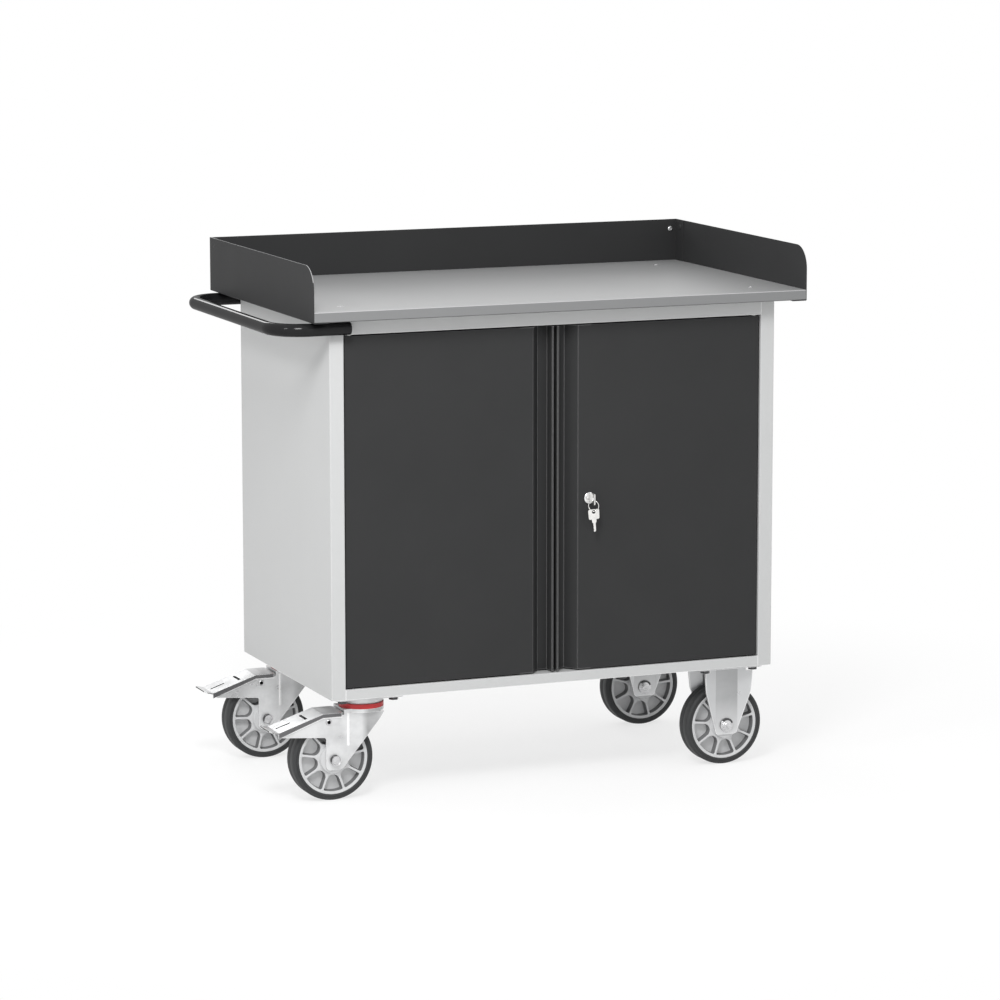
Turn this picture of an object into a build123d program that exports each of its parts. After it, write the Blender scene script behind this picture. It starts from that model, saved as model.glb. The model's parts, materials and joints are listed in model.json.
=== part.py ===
from build123d import *
import os
from math import cos, radians, sin, sqrt, tan

os.makedirs("parts", exist_ok=True)

# All sizes are in millimetres. The floor is Z = 0, the doors face -Y,
# and the push handle is at the -X end. Side -1 is left, side 1 is right.

# Cabinet
cabinet_width = 935.0
cabinet_depth = 527.0
cabinet_height = 738.0
cabinet_sheet = 1.5
sheet_bend = 2.0
rail_edge_round = 1.2
stile_width = 29.0
stile_return = 14.0
rear_flange = 36.0
top_flange = 45.0
top_rail_height = 31.0
bottom_rail_height = 20.0
caster_rail_width = 150.0
caster_rail_gap = 6.0
caster_rail_sheet = 3.0

# Shelf inside the cabinet
shelf_height = 345.0
shelf_setback = 68.0
shelf_edge = 25.0
shelf_side_gap = 1.0
bracket_leg = 20.0
bracket_sheet = 2.0
bracket_width = 30.0
bracket_inset = 55.0

# Worktop and its raised edge
worktop_end_overhang = 47.5
worktop_side_overhang = 46.5
worktop_thickness = 20.0
board_edge_round = 1.5
upstand_height = 86.0
upstand_sheet = 1.5
upstand_flange = 30.0
upstand_corner = 45.0
corner_flange = 25.0
corner_return = 38.0
return_sink = 2.0
corner_screw_inset = 15.5
corner_screw_drop = 20.0
side_screw_inset = 28.0
side_screw_drop = 15.0
edge_screw_diameter = 6.0
edge_screw_head = 11.0
edge_screw_head_height = 3.0
top_screw_diameter = 5.0
top_screw_head = 10.0
top_screw_length = 30.0
top_screw_from_end = 36.5
top_screw_from_front = 35.5
screw_clearance = 0.1

# Push handle
handle_tube = 25.0
handle_wall = 2.0
handle_bend = 62.0
handle_reach = 119.0
handle_top_gap = 2.0
handle_standoff = 3.0
handle_lap = 33.5
pad_height = 18.0
pad_sink = 1.0
cap_thickness = 3.0
cap_plug = 5.0
handle_bolt_diameter = 6.0
handle_bolt_head = 10.0
handle_bolt_head_height = 4.0
handle_bolt_length = 12.0
handle_bolt_pitch = 12.0

# Doors
door_sheet = 1.2
door_thickness = 28.0
door_recess = 4.0
door_side_gap = 2.5
door_end_gap = 3.0
door_split = 6.2
rib_width = 4.7
recess_depth = 25.0
recess_floor = 20.6
recess_bevel = 18.8
hinge_return = 15.0
pivot_inset = 10.0
pivot_setback = 6.0
pivot_diameter = 8.0
pivot_root = 8.0
bush_diameter = 12.0
bush_flange = 16.0
bush_upper_flange_height = 1.5
bush_tail = 3.0

# Lock, rods and keys
lock_from_recess = 24.0
lock_rise = 363.0
bezel_diameter = 24.0
bezel_height = 5.0
bezel_round = 3.0
housing_diameter = 18.0
housing_length = 20.0
plug_diameter = 12.0
plug_proud = 0.6
plug_tail = 2.0
crank_diameter = 26.0
crank_thickness = 3.0
crank_throw = 9.0
crank_pin = 5.0
crank_pin_length = 5.0
rod_width = 10.0
rod_thickness = 4.0
rod_gap = 0.4
rod_proud = 1.0
yoke_gap = 0.4
yoke_height = 13.0
slot_play = 0.5
guide_width = 17.0
guide_height = 12.0
guide_wall = 3.0
guide_gap = 0.3
guide_from_lock = 60.0
guide_from_end = 40.0
rod_hole_gap = 0.8
key_thickness = 2.2
key_blade = 8.0
key_blade_length = 24.0
key_neck = 3.0
key_bow_width = 23.0
key_bow_length = 20.0
key_bow_round = 4.0
key_hole = 9.0
key_hole_offset = 3.5
key_slot_gap = 0.2
key_slot_end = 2.0
ring_diameter = 23.0
ring_wire = 1.6
ring_hang = 2.3
ring_turn = 45.0
spare_neck = 7.0
spare_neck_width = 10.0
spare_blade_length = 20.0

# Wheels
wheel_diameter = 165.0
wheel_width = 40.0
tyre_thickness = 12.0
tyre_shoulder = 3.5
rim_inset = 1.0
rim_ring = 6.5
web_thickness = 22.0
hub_diameter = 58.0
hub_gap = 0.5
spoke_count = 9
spoke_width = 6.0
pocket_inner = 32.5
pocket_round = 6.0
axle_diameter = 12.0
axle_head = 19.0
axle_cap = 21.0
axle_head_height = 7.0

# Casters
caster_head = 40.5
caster_inset_y = 62.5
caster_trail = 65.0
cheek_gap = 54.0
cheek_sheet = 4.0
plate_length = 140.0
plate_width = 110.0
plate_thickness = 4.0
plate_corner = 10.0
bolt_spacing_x = 105.0
bolt_spacing_y = 80.0
bolt_diameter = 10.0
bolt_hole = 11.0
bolt_head = 17.0
bolt_head_height = 6.4
nut_height = 8.4
bolt_end = 2.0
race_height = 11.7
race_top = 96.0
race_bottom = 84.0
seal_diameter = 88.0
seal_bore = 66.0
seal_height = 9.0
crown_thickness = 7.0
crown_diameter = 88.0
crown_left = 46.0
crown_right = 34.0
kingpin_diameter = 16.0
kingpin_head = 25.0
kingpin_recess = 5.0
kingpin_nut = 24.0
kingpin_nut_height = 12.0
kingpin_end = 2.0
turning_gap = 0.3
running_gap = 0.05

# Fork cheeks: reaches are measured from the wheel's axle, drops from the crown
leg_half = 18.0
leg_drop = 20.0
leg_round = 8.0
wing_reach = 107.0
wing_drop = 39.3
wing_tip = 1.5
wing_step = 46.0
wing_fillet = 5.0
cheek_bend_reach = 24.0
cheek_bend_drop = 4.4
cheek_step = 3.0
slant_inset = 12.0
slant_drop = 18.5
cheek_crease = 27.0
cheek_flare = 9.0
cheek_bend = 4.0

# Fixed brackets: the foot is measured from the wheel's axle, the waist from the plate
bracket_panel = 25.0
bracket_foot = 22.0
bracket_drop = 19.0
bracket_round = 6.0
bracket_waist_drop = 51.0
bracket_waist = 49.0
bracket_top = 53.0
bracket_flare = 12.0
bracket_bolt_gap = 2.5

# Brake pedals: reaches are measured from the wheel's axle, heights from the fork's crown
pedal_sheet = 2.5
pedal_bend = 6.0
pedal_side_gap = 0.5
pedal_flange = 8.0
pedal_tip_flange = 11.0
pedal_corner = 8.0
pedal_above_crown = 2.0
pedal_bend_reach = 25.0
pedal_tip_reach = 116.0
pedal_tip_drop = 30.4
pedal_lip_reach = 133.0
pedal_lip_turn = 4.5
pedal_crown_gap = 2.0
pedal_slot_length = 30.0
pedal_slot_width = 6.0
pedal_slot_reach = 96.0
pedal_window_length = 5.0
pedal_window_width = 40.0
pedal_window_reach = 55.0
pedal_pivot_reach = 13.0
pedal_pivot_drop = 15.4
pedal_rivet = 8.0
pedal_rivet_head = 12.0
pedal_rivet_head_height = 3.0
pedal_rivet_hollow = 5.0
tab_radius = 9.0
tab_gap = 1.0
shoe_width = 34.0
shoe_start = 22.0
shoe_end = 47.0
shoe_gap = 3.1

# Places worked out from the sizes above
half_width = cabinet_width / 2
half_depth = cabinet_depth / 2
worktop_width = cabinet_width + 2 * worktop_end_overhang
worktop_depth = cabinet_depth + 2 * worktop_side_overhang
half_top = worktop_width / 2
half_top_depth = worktop_depth / 2
handle_axis_x = -(half_width + handle_reach - handle_tube / 2)
cabinet_x = (half_width + handle_reach - half_top) / 2
wheel_radius = wheel_diameter / 2
cabinet_bottom = wheel_diameter + caster_head
cabinet_top = cabinet_bottom + cabinet_height
floor_top = cabinet_bottom + bottom_rail_height
opening_top = cabinet_top - top_rail_height
opening_half = half_width - stile_width
board_top = cabinet_top + worktop_thickness
upstand_top = board_top + upstand_height
rear_inside = half_depth - 2 * cabinet_sheet
shelf_top = floor_top + shelf_height
handle_z = cabinet_top - upstand_sheet - handle_top_gap - handle_tube / 2
handle_y = half_depth + handle_standoff + handle_tube / 2
handle_end = handle_lap - half_width
handle_bolt_xs = [handle_lap / 2 - half_width + way * handle_bolt_pitch / 2 for way in (-1, 1)]
top_screw_x = half_width - top_screw_from_end
top_screw_y = half_depth - top_screw_from_front
board_rear = half_top_depth - 2 * upstand_sheet
inner_half = half_top - upstand_sheet
return_x = inner_half - upstand_sheet / 2
return_places = [(side * return_x, board_rear - corner_return / 2) for side in (-1, 1)]
door_face = door_recess - half_depth
door_bottom = floor_top + door_end_gap
door_top = opening_top - door_end_gap
door_edge = opening_half - door_side_gap
pivot_x = door_edge - pivot_inset
pivot_y = door_face + pivot_setback
recess_end = door_split / 2 + rib_width + recess_floor
face_end = recess_end + recess_bevel
lock_from_split = face_end + lock_from_recess
lock_z = cabinet_bottom + lock_rise
plug_front = door_face - bezel_height - plug_proud
plug_rear = door_face + housing_length + plug_tail
rod_front = plug_rear + crank_thickness + rod_gap
rod_y = rod_front + rod_thickness / 2
crank_height = crank_throw * sin(radians(45))
rod_offset = crank_throw * (1 + cos(radians(45))) / 2
yoke_width = 2 * rod_offset - yoke_gap
caster_x = half_width - cabinet_sheet - caster_rail_gap - caster_rail_width / 2
caster_y = half_depth - caster_inset_y
plate_under = cabinet_bottom - plate_thickness
race_under = plate_under - race_height
seal_top = race_under - turning_gap
crown_top = seal_top - seal_height
crown_under = crown_top - crown_thickness
cheek_inner = cheek_gap / 2
cheek_outer = cheek_inner + cheek_sheet
pedal_width = 2 * (cheek_outer + pedal_side_gap + pedal_sheet)
wheel_back = -caster_trail


def plan(z):
    return Plane((cabinet_x, 0, z))


def side_section(x):
    return Plane((cabinet_x + x, 0, 0), x_dir=(0, 1, 0), z_dir=(1, 0, 0))


def front_section(y, x=0.0):
    return Plane((cabinet_x + x, y, 0), x_dir=(1, 0, 0), z_dir=(0, -1, 0))


def along_y(x, y, z):
    return Location((cabinet_x + x, y, z), (-90, 0, 0))


def draw(points):
    with BuildLine() as outline:
        Polyline(*points, close=True)
    make_face(outline.edges())


# Folded sheet: one face follows the points, the other lies to their left, and each fold is rounded.
def draw_sheet(points, thickness, outside=sheet_bend, inside=0.0):
    face = [Vector(*point) for point in points]
    steps = [(end - start).normalized() for start, end in zip(face, face[1:])]
    lefts = [Vector(-step.Y, step.X) for step in steps]
    other = [face[0] + lefts[0] * thickness]
    face_radii = [0]
    other_radii = [0]
    for point, before, after in zip(face[1:-1], lefts, lefts[1:]):
        other.append(point + (before + after) * (thickness / (1 + before.dot(after))))
        folds_to_other = before.cross(after).Z * thickness > 0
        face_radii.append(outside if folds_to_other else inside)
        other_radii.append(inside if folds_to_other else outside)
    other.append(face[-1] + lefts[-1] * thickness)
    face_radii.append(0)
    other_radii.append(0)
    with BuildLine() as outline:
        FilletPolyline(*face, *other[::-1], radius=face_radii + other_radii[::-1], close=True)
    make_face(outline.edges())


def save(piece, name):
    piece.part.label = name
    export_step(piece.part, f"parts/{name}.step")


# Side panels: wall, front stile with its return, and rear flange
def make_side_panel(name, side):
    wall = side * half_width
    stile_edge = side * opening_half
    section = [(side * (half_width - rear_flange), half_depth), (wall, half_depth), (wall, -half_depth),
               (stile_edge, -half_depth)]
    with BuildPart() as panel:
        for low, high in ((cabinet_bottom, floor_top), (opening_top, cabinet_top)):
            with BuildSketch(plan(low)):
                draw_sheet(section, -side * cabinet_sheet)
            extrude(amount=high - low)
        with BuildSketch(plan(floor_top)):
            draw_sheet(section + [(stile_edge, stile_return - half_depth)], -side * cabinet_sheet)
        extrude(amount=opening_top - floor_top)
        if side < 0:
            with Locations([along_y(x, 0, handle_z) for x in handle_bolt_xs]):
                Cylinder(handle_bolt_diameter / 2 + screw_clearance, 2 * cabinet_depth, mode=Mode.SUBTRACT)
    save(panel, name)


make_side_panel("left_side_panel", -1)
make_side_panel("right_side_panel", 1)

# Rear panel, lying against the rear flanges, with a flange under the worktop
with BuildPart() as rear_panel:
    with BuildSketch(side_section(cabinet_sheet - half_width)):
        draw_sheet([(half_depth - cabinet_sheet, cabinet_bottom), (half_depth - cabinet_sheet, cabinet_top),
                    (half_depth - cabinet_sheet - top_flange, cabinet_top)], cabinet_sheet)
    extrude(amount=cabinet_width - 2 * cabinet_sheet)
    with Locations([along_y(x, half_depth, handle_z) for x in handle_bolt_xs]):
        Cylinder(handle_bolt_diameter / 2 + screw_clearance, cabinet_depth, mode=Mode.SUBTRACT)
    with BuildSketch(plan(cabinet_top)):
        with Locations((-top_screw_x, top_screw_y), (top_screw_x, top_screw_y)):
            Circle(top_screw_diameter / 2 + screw_clearance)
    extrude(amount=-2 * cabinet_sheet, mode=Mode.SUBTRACT)
save(rear_panel, "rear_panel")

# Floor with the rail below the doors
with BuildPart() as base_panel:
    floor_front = cabinet_sheet - half_depth
    with BuildSketch(plan(floor_top)):
        with Locations((0, (rear_inside + floor_front) / 2)):
            Rectangle(cabinet_width - 2 * cabinet_sheet, rear_inside - floor_front)
    extrude(amount=-cabinet_sheet)
    with BuildSketch(plan(cabinet_bottom)):
        with Locations((0, cabinet_sheet / 2 - half_depth)):
            Rectangle(2 * opening_half, cabinet_sheet)
    extrude(amount=bottom_rail_height)
    fillet(base_panel.edges().filter_by(Axis.X).group_by(Axis.Z)[-1].sort_by(Axis.Y)[0], rail_edge_round)
    with BuildSketch(plan(floor_top)):
        with Locations((-pivot_x, pivot_y), (pivot_x, pivot_y)):
            Circle(bush_diameter / 2)
        with Locations((lock_from_split + rod_offset, rod_y)):
            Rectangle(rod_width + 2 * rod_hole_gap, rod_thickness + 2 * rod_hole_gap)
    extrude(amount=-2 * cabinet_sheet, mode=Mode.SUBTRACT)
save(base_panel, "base_panel")

# Rail above the doors
with BuildPart() as front_top_rail:
    with BuildSketch(side_section(-opening_half)):
        draw_sheet([(top_flange - half_depth, cabinet_top), (-half_depth, cabinet_top),
                    (-half_depth, opening_top), (top_flange - half_depth, opening_top)], cabinet_sheet)
    extrude(amount=2 * opening_half)
    with BuildSketch(plan(opening_top)):
        with Locations((-pivot_x, pivot_y), (pivot_x, pivot_y)):
            Circle(bush_diameter / 2)
        with Locations((lock_from_split - rod_offset, rod_y)):
            Rectangle(rod_width + 2 * rod_hole_gap, rod_thickness + 2 * rod_hole_gap)
    extrude(amount=2 * cabinet_sheet, mode=Mode.SUBTRACT)
    with BuildSketch(plan(cabinet_top)):
        with Locations((-top_screw_x, -top_screw_y), (top_screw_x, -top_screw_y)):
            Circle(top_screw_diameter / 2 + screw_clearance)
    extrude(amount=-2 * cabinet_sheet, mode=Mode.SUBTRACT)
save(front_top_rail, "front_top_rail")

# Channels under the floor that carry the casters
for name, side in (("left_caster_rail", -1), ("right_caster_rail", 1)):
    with BuildPart() as caster_rail:
        low = side * caster_x - caster_rail_width / 2
        high = low + caster_rail_width
        floor_under = floor_top - cabinet_sheet
        with BuildSketch(front_section(rear_inside)):
            draw_sheet([(low, floor_under), (low, cabinet_bottom),
                        (high, cabinet_bottom), (high, floor_under)], caster_rail_sheet)
        extrude(amount=rear_inside + half_depth - cabinet_sheet)
        with BuildSketch(plan(cabinet_bottom)):
            with Locations((side * caster_x, -caster_y), (side * caster_x, caster_y)):
                with GridLocations(bolt_spacing_x, bolt_spacing_y, 2, 2):
                    Circle(bolt_hole / 2)
        extrude(amount=2 * caster_rail_sheet, mode=Mode.SUBTRACT)
    save(caster_rail, name)

# Shelf tray and the angle brackets under it
with BuildPart() as shelf:
    shelf_reach = half_width - cabinet_sheet - shelf_side_gap
    shelf_front = shelf_setback - half_depth
    with BuildSketch(side_section(-shelf_reach)):
        draw_sheet([(rear_inside, shelf_top - shelf_edge), (rear_inside, shelf_top),
                    (shelf_front, shelf_top), (shelf_front, shelf_top - shelf_edge)], cabinet_sheet)
    extrude(amount=2 * shelf_reach)
save(shelf, "shelf")

with BuildPart() as shelf_supports:
    shelf_under = shelf_top - cabinet_sheet
    for side in (-1, 1):
        wall = side * (half_width - cabinet_sheet)
        for bracket_rear in (shelf_front + bracket_inset + bracket_width, rear_inside - bracket_inset):
            with BuildSketch(front_section(bracket_rear)):
                draw_sheet([(wall, shelf_under - bracket_leg), (wall, shelf_under),
                            (wall - side * bracket_leg, shelf_under)], side * bracket_sheet)
            extrude(amount=bracket_width)
save(shelf_supports, "shelf_supports")

# Worktop board, slotted for the rear edge's returns, with flush screws into the cabinet
with BuildPart() as worktop:
    with BuildSketch(plan(cabinet_top)):
        with Locations((0, (board_rear - half_top_depth) / 2)):
            Rectangle(2 * inner_half, board_rear + half_top_depth)
    extrude(amount=worktop_thickness)
    with BuildSketch(plan(board_top)):
        with Locations(*return_places):
            Rectangle(upstand_sheet, corner_return)
    extrude(amount=-return_sink, mode=Mode.SUBTRACT)
    fillet(worktop.edges().filter_by(Axis.X).group_by(Axis.Y)[0], board_edge_round)
    with Locations(plan(board_top)):
        with GridLocations(2 * top_screw_x, 2 * top_screw_y, 2, 2):
            CounterSinkHole(top_screw_diameter / 2 + screw_clearance, top_screw_head / 2 + screw_clearance,
                            counter_sink_angle=90)
save(worktop, "worktop")

with BuildPart() as worktop_screws:
    cone_depth = (top_screw_head - top_screw_diameter) / 2
    with Locations(plan(board_top)):
        with GridLocations(2 * top_screw_x, 2 * top_screw_y, 2, 2):
            Cone(top_screw_diameter / 2, top_screw_head / 2, cone_depth,
                 align=(Align.CENTER, Align.CENTER, Align.MAX))
            Cylinder(top_screw_diameter / 2, top_screw_length,
                     align=(Align.CENTER, Align.CENTER, Align.MAX))
save(worktop_screws, "worktop_screws")


# Raised edges at the two ends, folded under the board and behind the rear edge
def make_end_upstand(name, side):
    outer = side * half_top
    with BuildPart() as upstand:
        with BuildSketch(front_section(half_top_depth)):
            draw_sheet([(outer - side * upstand_flange, cabinet_top - upstand_sheet),
                        (outer, cabinet_top - upstand_sheet), (outer, upstand_top)], side * upstand_sheet)
        extrude(amount=worktop_depth)
        with BuildSketch(plan(cabinet_top)):
            with Locations((outer - side * corner_flange / 2, half_top_depth - upstand_sheet / 2)):
                Rectangle(corner_flange, upstand_sheet)
        extrude(amount=upstand_top - cabinet_top)
        fillet(upstand.edges().filter_by(Axis.X).group_by(Axis.Z)[-1].sort_by(Axis.Y)[0], upstand_corner)
        with Locations(along_y(outer - side * corner_screw_inset, half_top_depth,
                               upstand_top - corner_screw_drop)):
            Cylinder(edge_screw_diameter / 2 + screw_clearance, 4 * upstand_sheet, mode=Mode.SUBTRACT)
        with Locations(Location((cabinet_x + outer, half_top_depth - side_screw_inset,
                                 upstand_top - side_screw_drop), (0, 90, 0))):
            Cylinder(edge_screw_diameter / 2 + screw_clearance, 4 * upstand_sheet, mode=Mode.SUBTRACT)
    save(upstand, name)


make_end_upstand("left_upstand", -1)
make_end_upstand("right_upstand", 1)

# Raised edge along the rear, with returns along the inside of both ends
with BuildPart() as rear_upstand:
    with BuildSketch(plan(cabinet_top)):
        with Locations((0, board_rear + upstand_sheet / 2)):
            Rectangle(2 * inner_half, upstand_sheet)
    extrude(amount=upstand_top - cabinet_top)
    with BuildSketch(plan(board_top - return_sink)):
        with Locations(*return_places):
            Rectangle(upstand_sheet, corner_return)
    extrude(amount=upstand_height + return_sink)
    with BuildSketch(plan(cabinet_top)):
        with Locations((0, board_rear + upstand_sheet - upstand_flange / 2)):
            Rectangle(2 * (half_top - upstand_flange), upstand_flange)
    extrude(amount=-upstand_sheet)
    with Locations([along_y(side * (half_top - corner_screw_inset), board_rear,
                            upstand_top - corner_screw_drop) for side in (-1, 1)]):
        Cylinder(edge_screw_diameter / 2 + screw_clearance, 4 * upstand_sheet, mode=Mode.SUBTRACT)
    with Locations([Location((cabinet_x + side * inner_half, half_top_depth - side_screw_inset,
                              upstand_top - side_screw_drop), (0, 90, 0)) for side in (-1, 1)]):
        Cylinder(edge_screw_diameter / 2 + screw_clearance, 4 * upstand_sheet, mode=Mode.SUBTRACT)
save(rear_upstand, "rear_upstand")

# Domed screws that hold the corners of the raised edge
with BuildPart() as upstand_screws:
    grip = 2 * upstand_sheet
    corner_places = [Location((cabinet_x + side * (half_top - corner_screw_inset), board_rear,
                               upstand_top - corner_screw_drop), (90, 0, 0)) for side in (-1, 1)]
    end_places = [Location((cabinet_x + side * (inner_half - upstand_sheet),
                            half_top_depth - side_screw_inset, upstand_top - side_screw_drop),
                           (0, -side * 90, 0)) for side in (-1, 1)]
    with Locations(corner_places + end_places):
        Cylinder(edge_screw_head / 2, edge_screw_head_height, align=(Align.CENTER, Align.CENTER, Align.MIN))
    fillet(upstand_screws.edges().filter_by(GeomType.CIRCLE), edge_screw_head_height / 3)
    with Locations(corner_places + end_places):
        Cylinder(edge_screw_diameter / 2, grip, align=(Align.CENTER, Align.CENTER, Align.MAX))
save(upstand_screws, "upstand_screws")

# Push handle: bent tube with a pad on each arm that meets the cabinet
with BuildPart() as push_handle:
    with BuildLine() as handle_path:
        arm_end = cabinet_x + handle_end
        arm_bend = cabinet_x + handle_axis_x
        FilletPolyline((arm_end, -handle_y, handle_z), (arm_bend, -handle_y, handle_z),
                       (arm_bend, handle_y, handle_z), (arm_end, handle_y, handle_z), radius=handle_bend)
    with BuildSketch(handle_path.line ^ 0):
        Circle(handle_tube / 2)
        Circle(handle_tube / 2 - handle_wall, mode=Mode.SUBTRACT)
    sweep()
    for side in (-1, 1):
        with BuildSketch(front_section(side * half_depth, -half_width)):
            with Locations((handle_lap / 2, handle_z)):
                Rectangle(handle_lap, pad_height)
        extrude(amount=-side * (handle_standoff + pad_sink))
    with Locations([along_y(x, side * half_depth, handle_z) for x in handle_bolt_xs for side in (-1, 1)]):
        Cylinder(handle_bolt_diameter / 2 + screw_clearance, handle_tube, mode=Mode.SUBTRACT)
save(push_handle, "push_handle")

with BuildPart() as handle_end_caps:
    cap_places = [Location((arm_end, side * handle_y, handle_z), (0, 90, 0)) for side in (-1, 1)]
    with Locations(cap_places):
        Cylinder(handle_tube / 2, cap_thickness, align=(Align.CENTER, Align.CENTER, Align.MIN))
    fillet(handle_end_caps.edges().group_by(Axis.X)[-1], cap_thickness / 2)
    with Locations(cap_places):
        Cylinder(handle_tube / 2 - handle_wall - running_gap, cap_plug,
                 align=(Align.CENTER, Align.CENTER, Align.MAX))
save(handle_end_caps, "handle_end_caps")

with BuildPart() as handle_bolts:
    front_seats = [Location((cabinet_x + x, cabinet_sheet - half_depth, handle_z), (-90, 0, 0))
                   for x in handle_bolt_xs]
    rear_seats = [Location((cabinet_x + x, rear_inside, handle_z), (90, 0, 0)) for x in handle_bolt_xs]
    with Locations(front_seats + rear_seats):
        Cylinder(handle_bolt_head / 2, handle_bolt_head_height,
                 align=(Align.CENTER, Align.CENTER, Align.MIN))
        Cylinder(handle_bolt_diameter / 2, handle_bolt_length,
                 align=(Align.CENTER, Align.CENTER, Align.MAX))
save(handle_bolts, "handle_bolts")


# Doors: folded tray with a finger recess and a hemmed meeting edge, pivot studs welded in
def make_door(name, side):
    door_fold = min(sheet_bend, rib_width * 0.45)
    rib_outer = door_split / 2
    rib_inner = rib_outer + rib_width
    door_rear = door_face + door_thickness
    recess_y = door_face + recess_depth
    section = [(door_edge - hinge_return, door_rear), (door_edge, door_rear), (door_edge, door_face),
               (face_end, door_face), (recess_end, recess_y), (rib_inner, recess_y),
               (rib_inner, door_face), (rib_outer, door_face), (rib_outer, door_rear)]
    lid = [(door_edge, door_face), (face_end, door_face), (recess_end, recess_y), (door_edge, recess_y)]
    with BuildPart() as door:
        with BuildSketch(plan(door_bottom)):
            draw_sheet([(side * x, y) for x, y in section], -side * door_sheet, door_fold)
        extrude(amount=door_top - door_bottom)
        for lid_z in (door_bottom, door_top - door_sheet):
            with BuildSketch(plan(lid_z)):
                draw([(side * x, y) for x, y in lid])
            extrude(amount=door_sheet)
        for stud_low, stud_high in ((floor_top - cabinet_sheet - bush_tail, door_bottom + pivot_root),
                                    (door_top - pivot_root, opening_top + cabinet_sheet + bush_tail)):
            with BuildSketch(plan(stud_low)):
                with Locations((side * pivot_x, pivot_y)):
                    Circle(pivot_diameter / 2)
            extrude(amount=stud_high - stud_low)
        if side > 0:
            with Locations(along_y(lock_from_split, door_face, lock_z)):
                Cylinder(housing_diameter / 2 + screw_clearance, 4 * door_sheet, mode=Mode.SUBTRACT)
            for way, lid_end in ((1, door_top), (-1, door_bottom)):
                with BuildSketch(plan(lid_end)):
                    with Locations((lock_from_split - way * rod_offset, rod_y)):
                        Rectangle(rod_width + 2 * rod_hole_gap, rod_thickness + 2 * rod_hole_gap)
                extrude(amount=-way * 2 * door_sheet, mode=Mode.SUBTRACT)
    save(door, name)


make_door("left_door", -1)
make_door("right_door", 1)

# Flanged bushes that carry the door pivots
with BuildPart() as door_bushes:
    lower_flange = door_end_gap - turning_gap
    for flange_low, flange_high, sleeve_low, sleeve_high in (
            (floor_top, floor_top + lower_flange, floor_top - cabinet_sheet - bush_tail, floor_top),
            (opening_top - bush_upper_flange_height, opening_top, opening_top,
             opening_top + cabinet_sheet + bush_tail)):
        for low, high, diameter in ((flange_low, flange_high, bush_flange),
                                    (sleeve_low, sleeve_high, bush_diameter)):
            with BuildSketch(plan(low)):
                with Locations((-pivot_x, pivot_y), (pivot_x, pivot_y)):
                    Circle(diameter / 2)
                    Circle(pivot_diameter / 2 + running_gap, mode=Mode.SUBTRACT)
            extrude(amount=high - low)
save(door_bushes, "door_bushes")

# Lock: housing in the door, turning plug with a key slot, crank disc behind it
with BuildPart() as lock_housing:
    with BuildSketch(front_section(door_face, lock_from_split)):
        with Locations((0, lock_z)):
            Circle(bezel_diameter / 2)
    extrude(amount=bezel_height)
    fillet(lock_housing.edges().group_by(Axis.Y)[0], bezel_round)
    with BuildSketch(front_section(door_face, lock_from_split)):
        with Locations((0, lock_z)):
            Circle(housing_diameter / 2)
    extrude(amount=-housing_length)
    with Locations(along_y(lock_from_split, door_face, lock_z)):
        Cylinder(plug_diameter / 2 + running_gap, 4 * housing_length, mode=Mode.SUBTRACT)
save(lock_housing, "lock_housing")

with BuildPart() as lock_plug:
    with BuildSketch(front_section(plug_rear, lock_from_split)):
        with Locations((0, lock_z)):
            Circle(plug_diameter / 2)
    extrude(amount=plug_rear - plug_front)
    with BuildSketch(front_section(plug_front, lock_from_split)):
        with Locations((0, lock_z)):
            Rectangle(key_thickness + 2 * key_slot_gap, key_blade + 2 * key_slot_gap)
    extrude(amount=-(key_blade_length + key_slot_end), mode=Mode.SUBTRACT)
save(lock_plug, "lock_plug")

with BuildPart() as lock_cam:
    with BuildSketch(front_section(plug_rear, lock_from_split)):
        with Locations((0, lock_z)):
            Circle(crank_diameter / 2)
    extrude(amount=-crank_thickness)
    with BuildSketch(front_section(plug_rear + crank_thickness, lock_from_split)):
        with Locations((-crank_height, lock_z - crank_height), (crank_height, lock_z + crank_height)):
            Circle(crank_pin / 2)
    extrude(amount=-crank_pin_length)
save(lock_cam, "lock_cam")


# Locking rods: a slotted yoke on a crank pin, and a flat bar up or down to the door's end
def make_lock_rod(name, way):
    rod_x = lock_from_split - way * rod_offset
    pin_z = lock_z - way * crank_height
    tip_z = (door_top + rod_proud) if way > 0 else (door_bottom - rod_proud)
    slot_length = crank_pin + crank_throw - crank_height + 2 * slot_play
    with BuildPart() as rod:
        with BuildSketch(front_section(rod_front, rod_x)):
            with Locations((0, (pin_z + tip_z) / 2)):
                Rectangle(rod_width, abs(tip_z - pin_z))
            with Locations((0, pin_z)):
                RectangleRounded(yoke_width, yoke_height, yoke_height / 4)
                Rectangle(slot_length, crank_pin + 2 * slot_play, mode=Mode.SUBTRACT)
        extrude(amount=-rod_thickness)
    save(rod, name)


make_lock_rod("upper_lock_rod", 1)
make_lock_rod("lower_lock_rod", -1)

# Blocks on the inside of the right door that guide the rods
with BuildPart() as rod_guides:
    guide_front = door_face + door_sheet
    guide_rear = rod_front + rod_thickness + guide_wall
    for way, end_z in ((1, door_top), (-1, door_bottom)):
        for guide_z in (lock_z + way * guide_from_lock, end_z - way * guide_from_end):
            with BuildSketch(plan(guide_z - guide_height / 2)):
                with Locations((lock_from_split - way * rod_offset, (guide_front + guide_rear) / 2)):
                    Rectangle(guide_width, guide_rear - guide_front)
                with Locations((lock_from_split - way * rod_offset, rod_y)):
                    Rectangle(rod_width + 2 * guide_gap, rod_thickness + 2 * guide_gap, mode=Mode.SUBTRACT)
            extrude(amount=guide_height)
save(rod_guides, "rod_guides")

# Key in the lock: blade, and a round bow with a hole for the ring
bow_y = plug_front - key_neck - key_bow_length / 2
hole_y = bow_y - key_hole_offset

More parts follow.
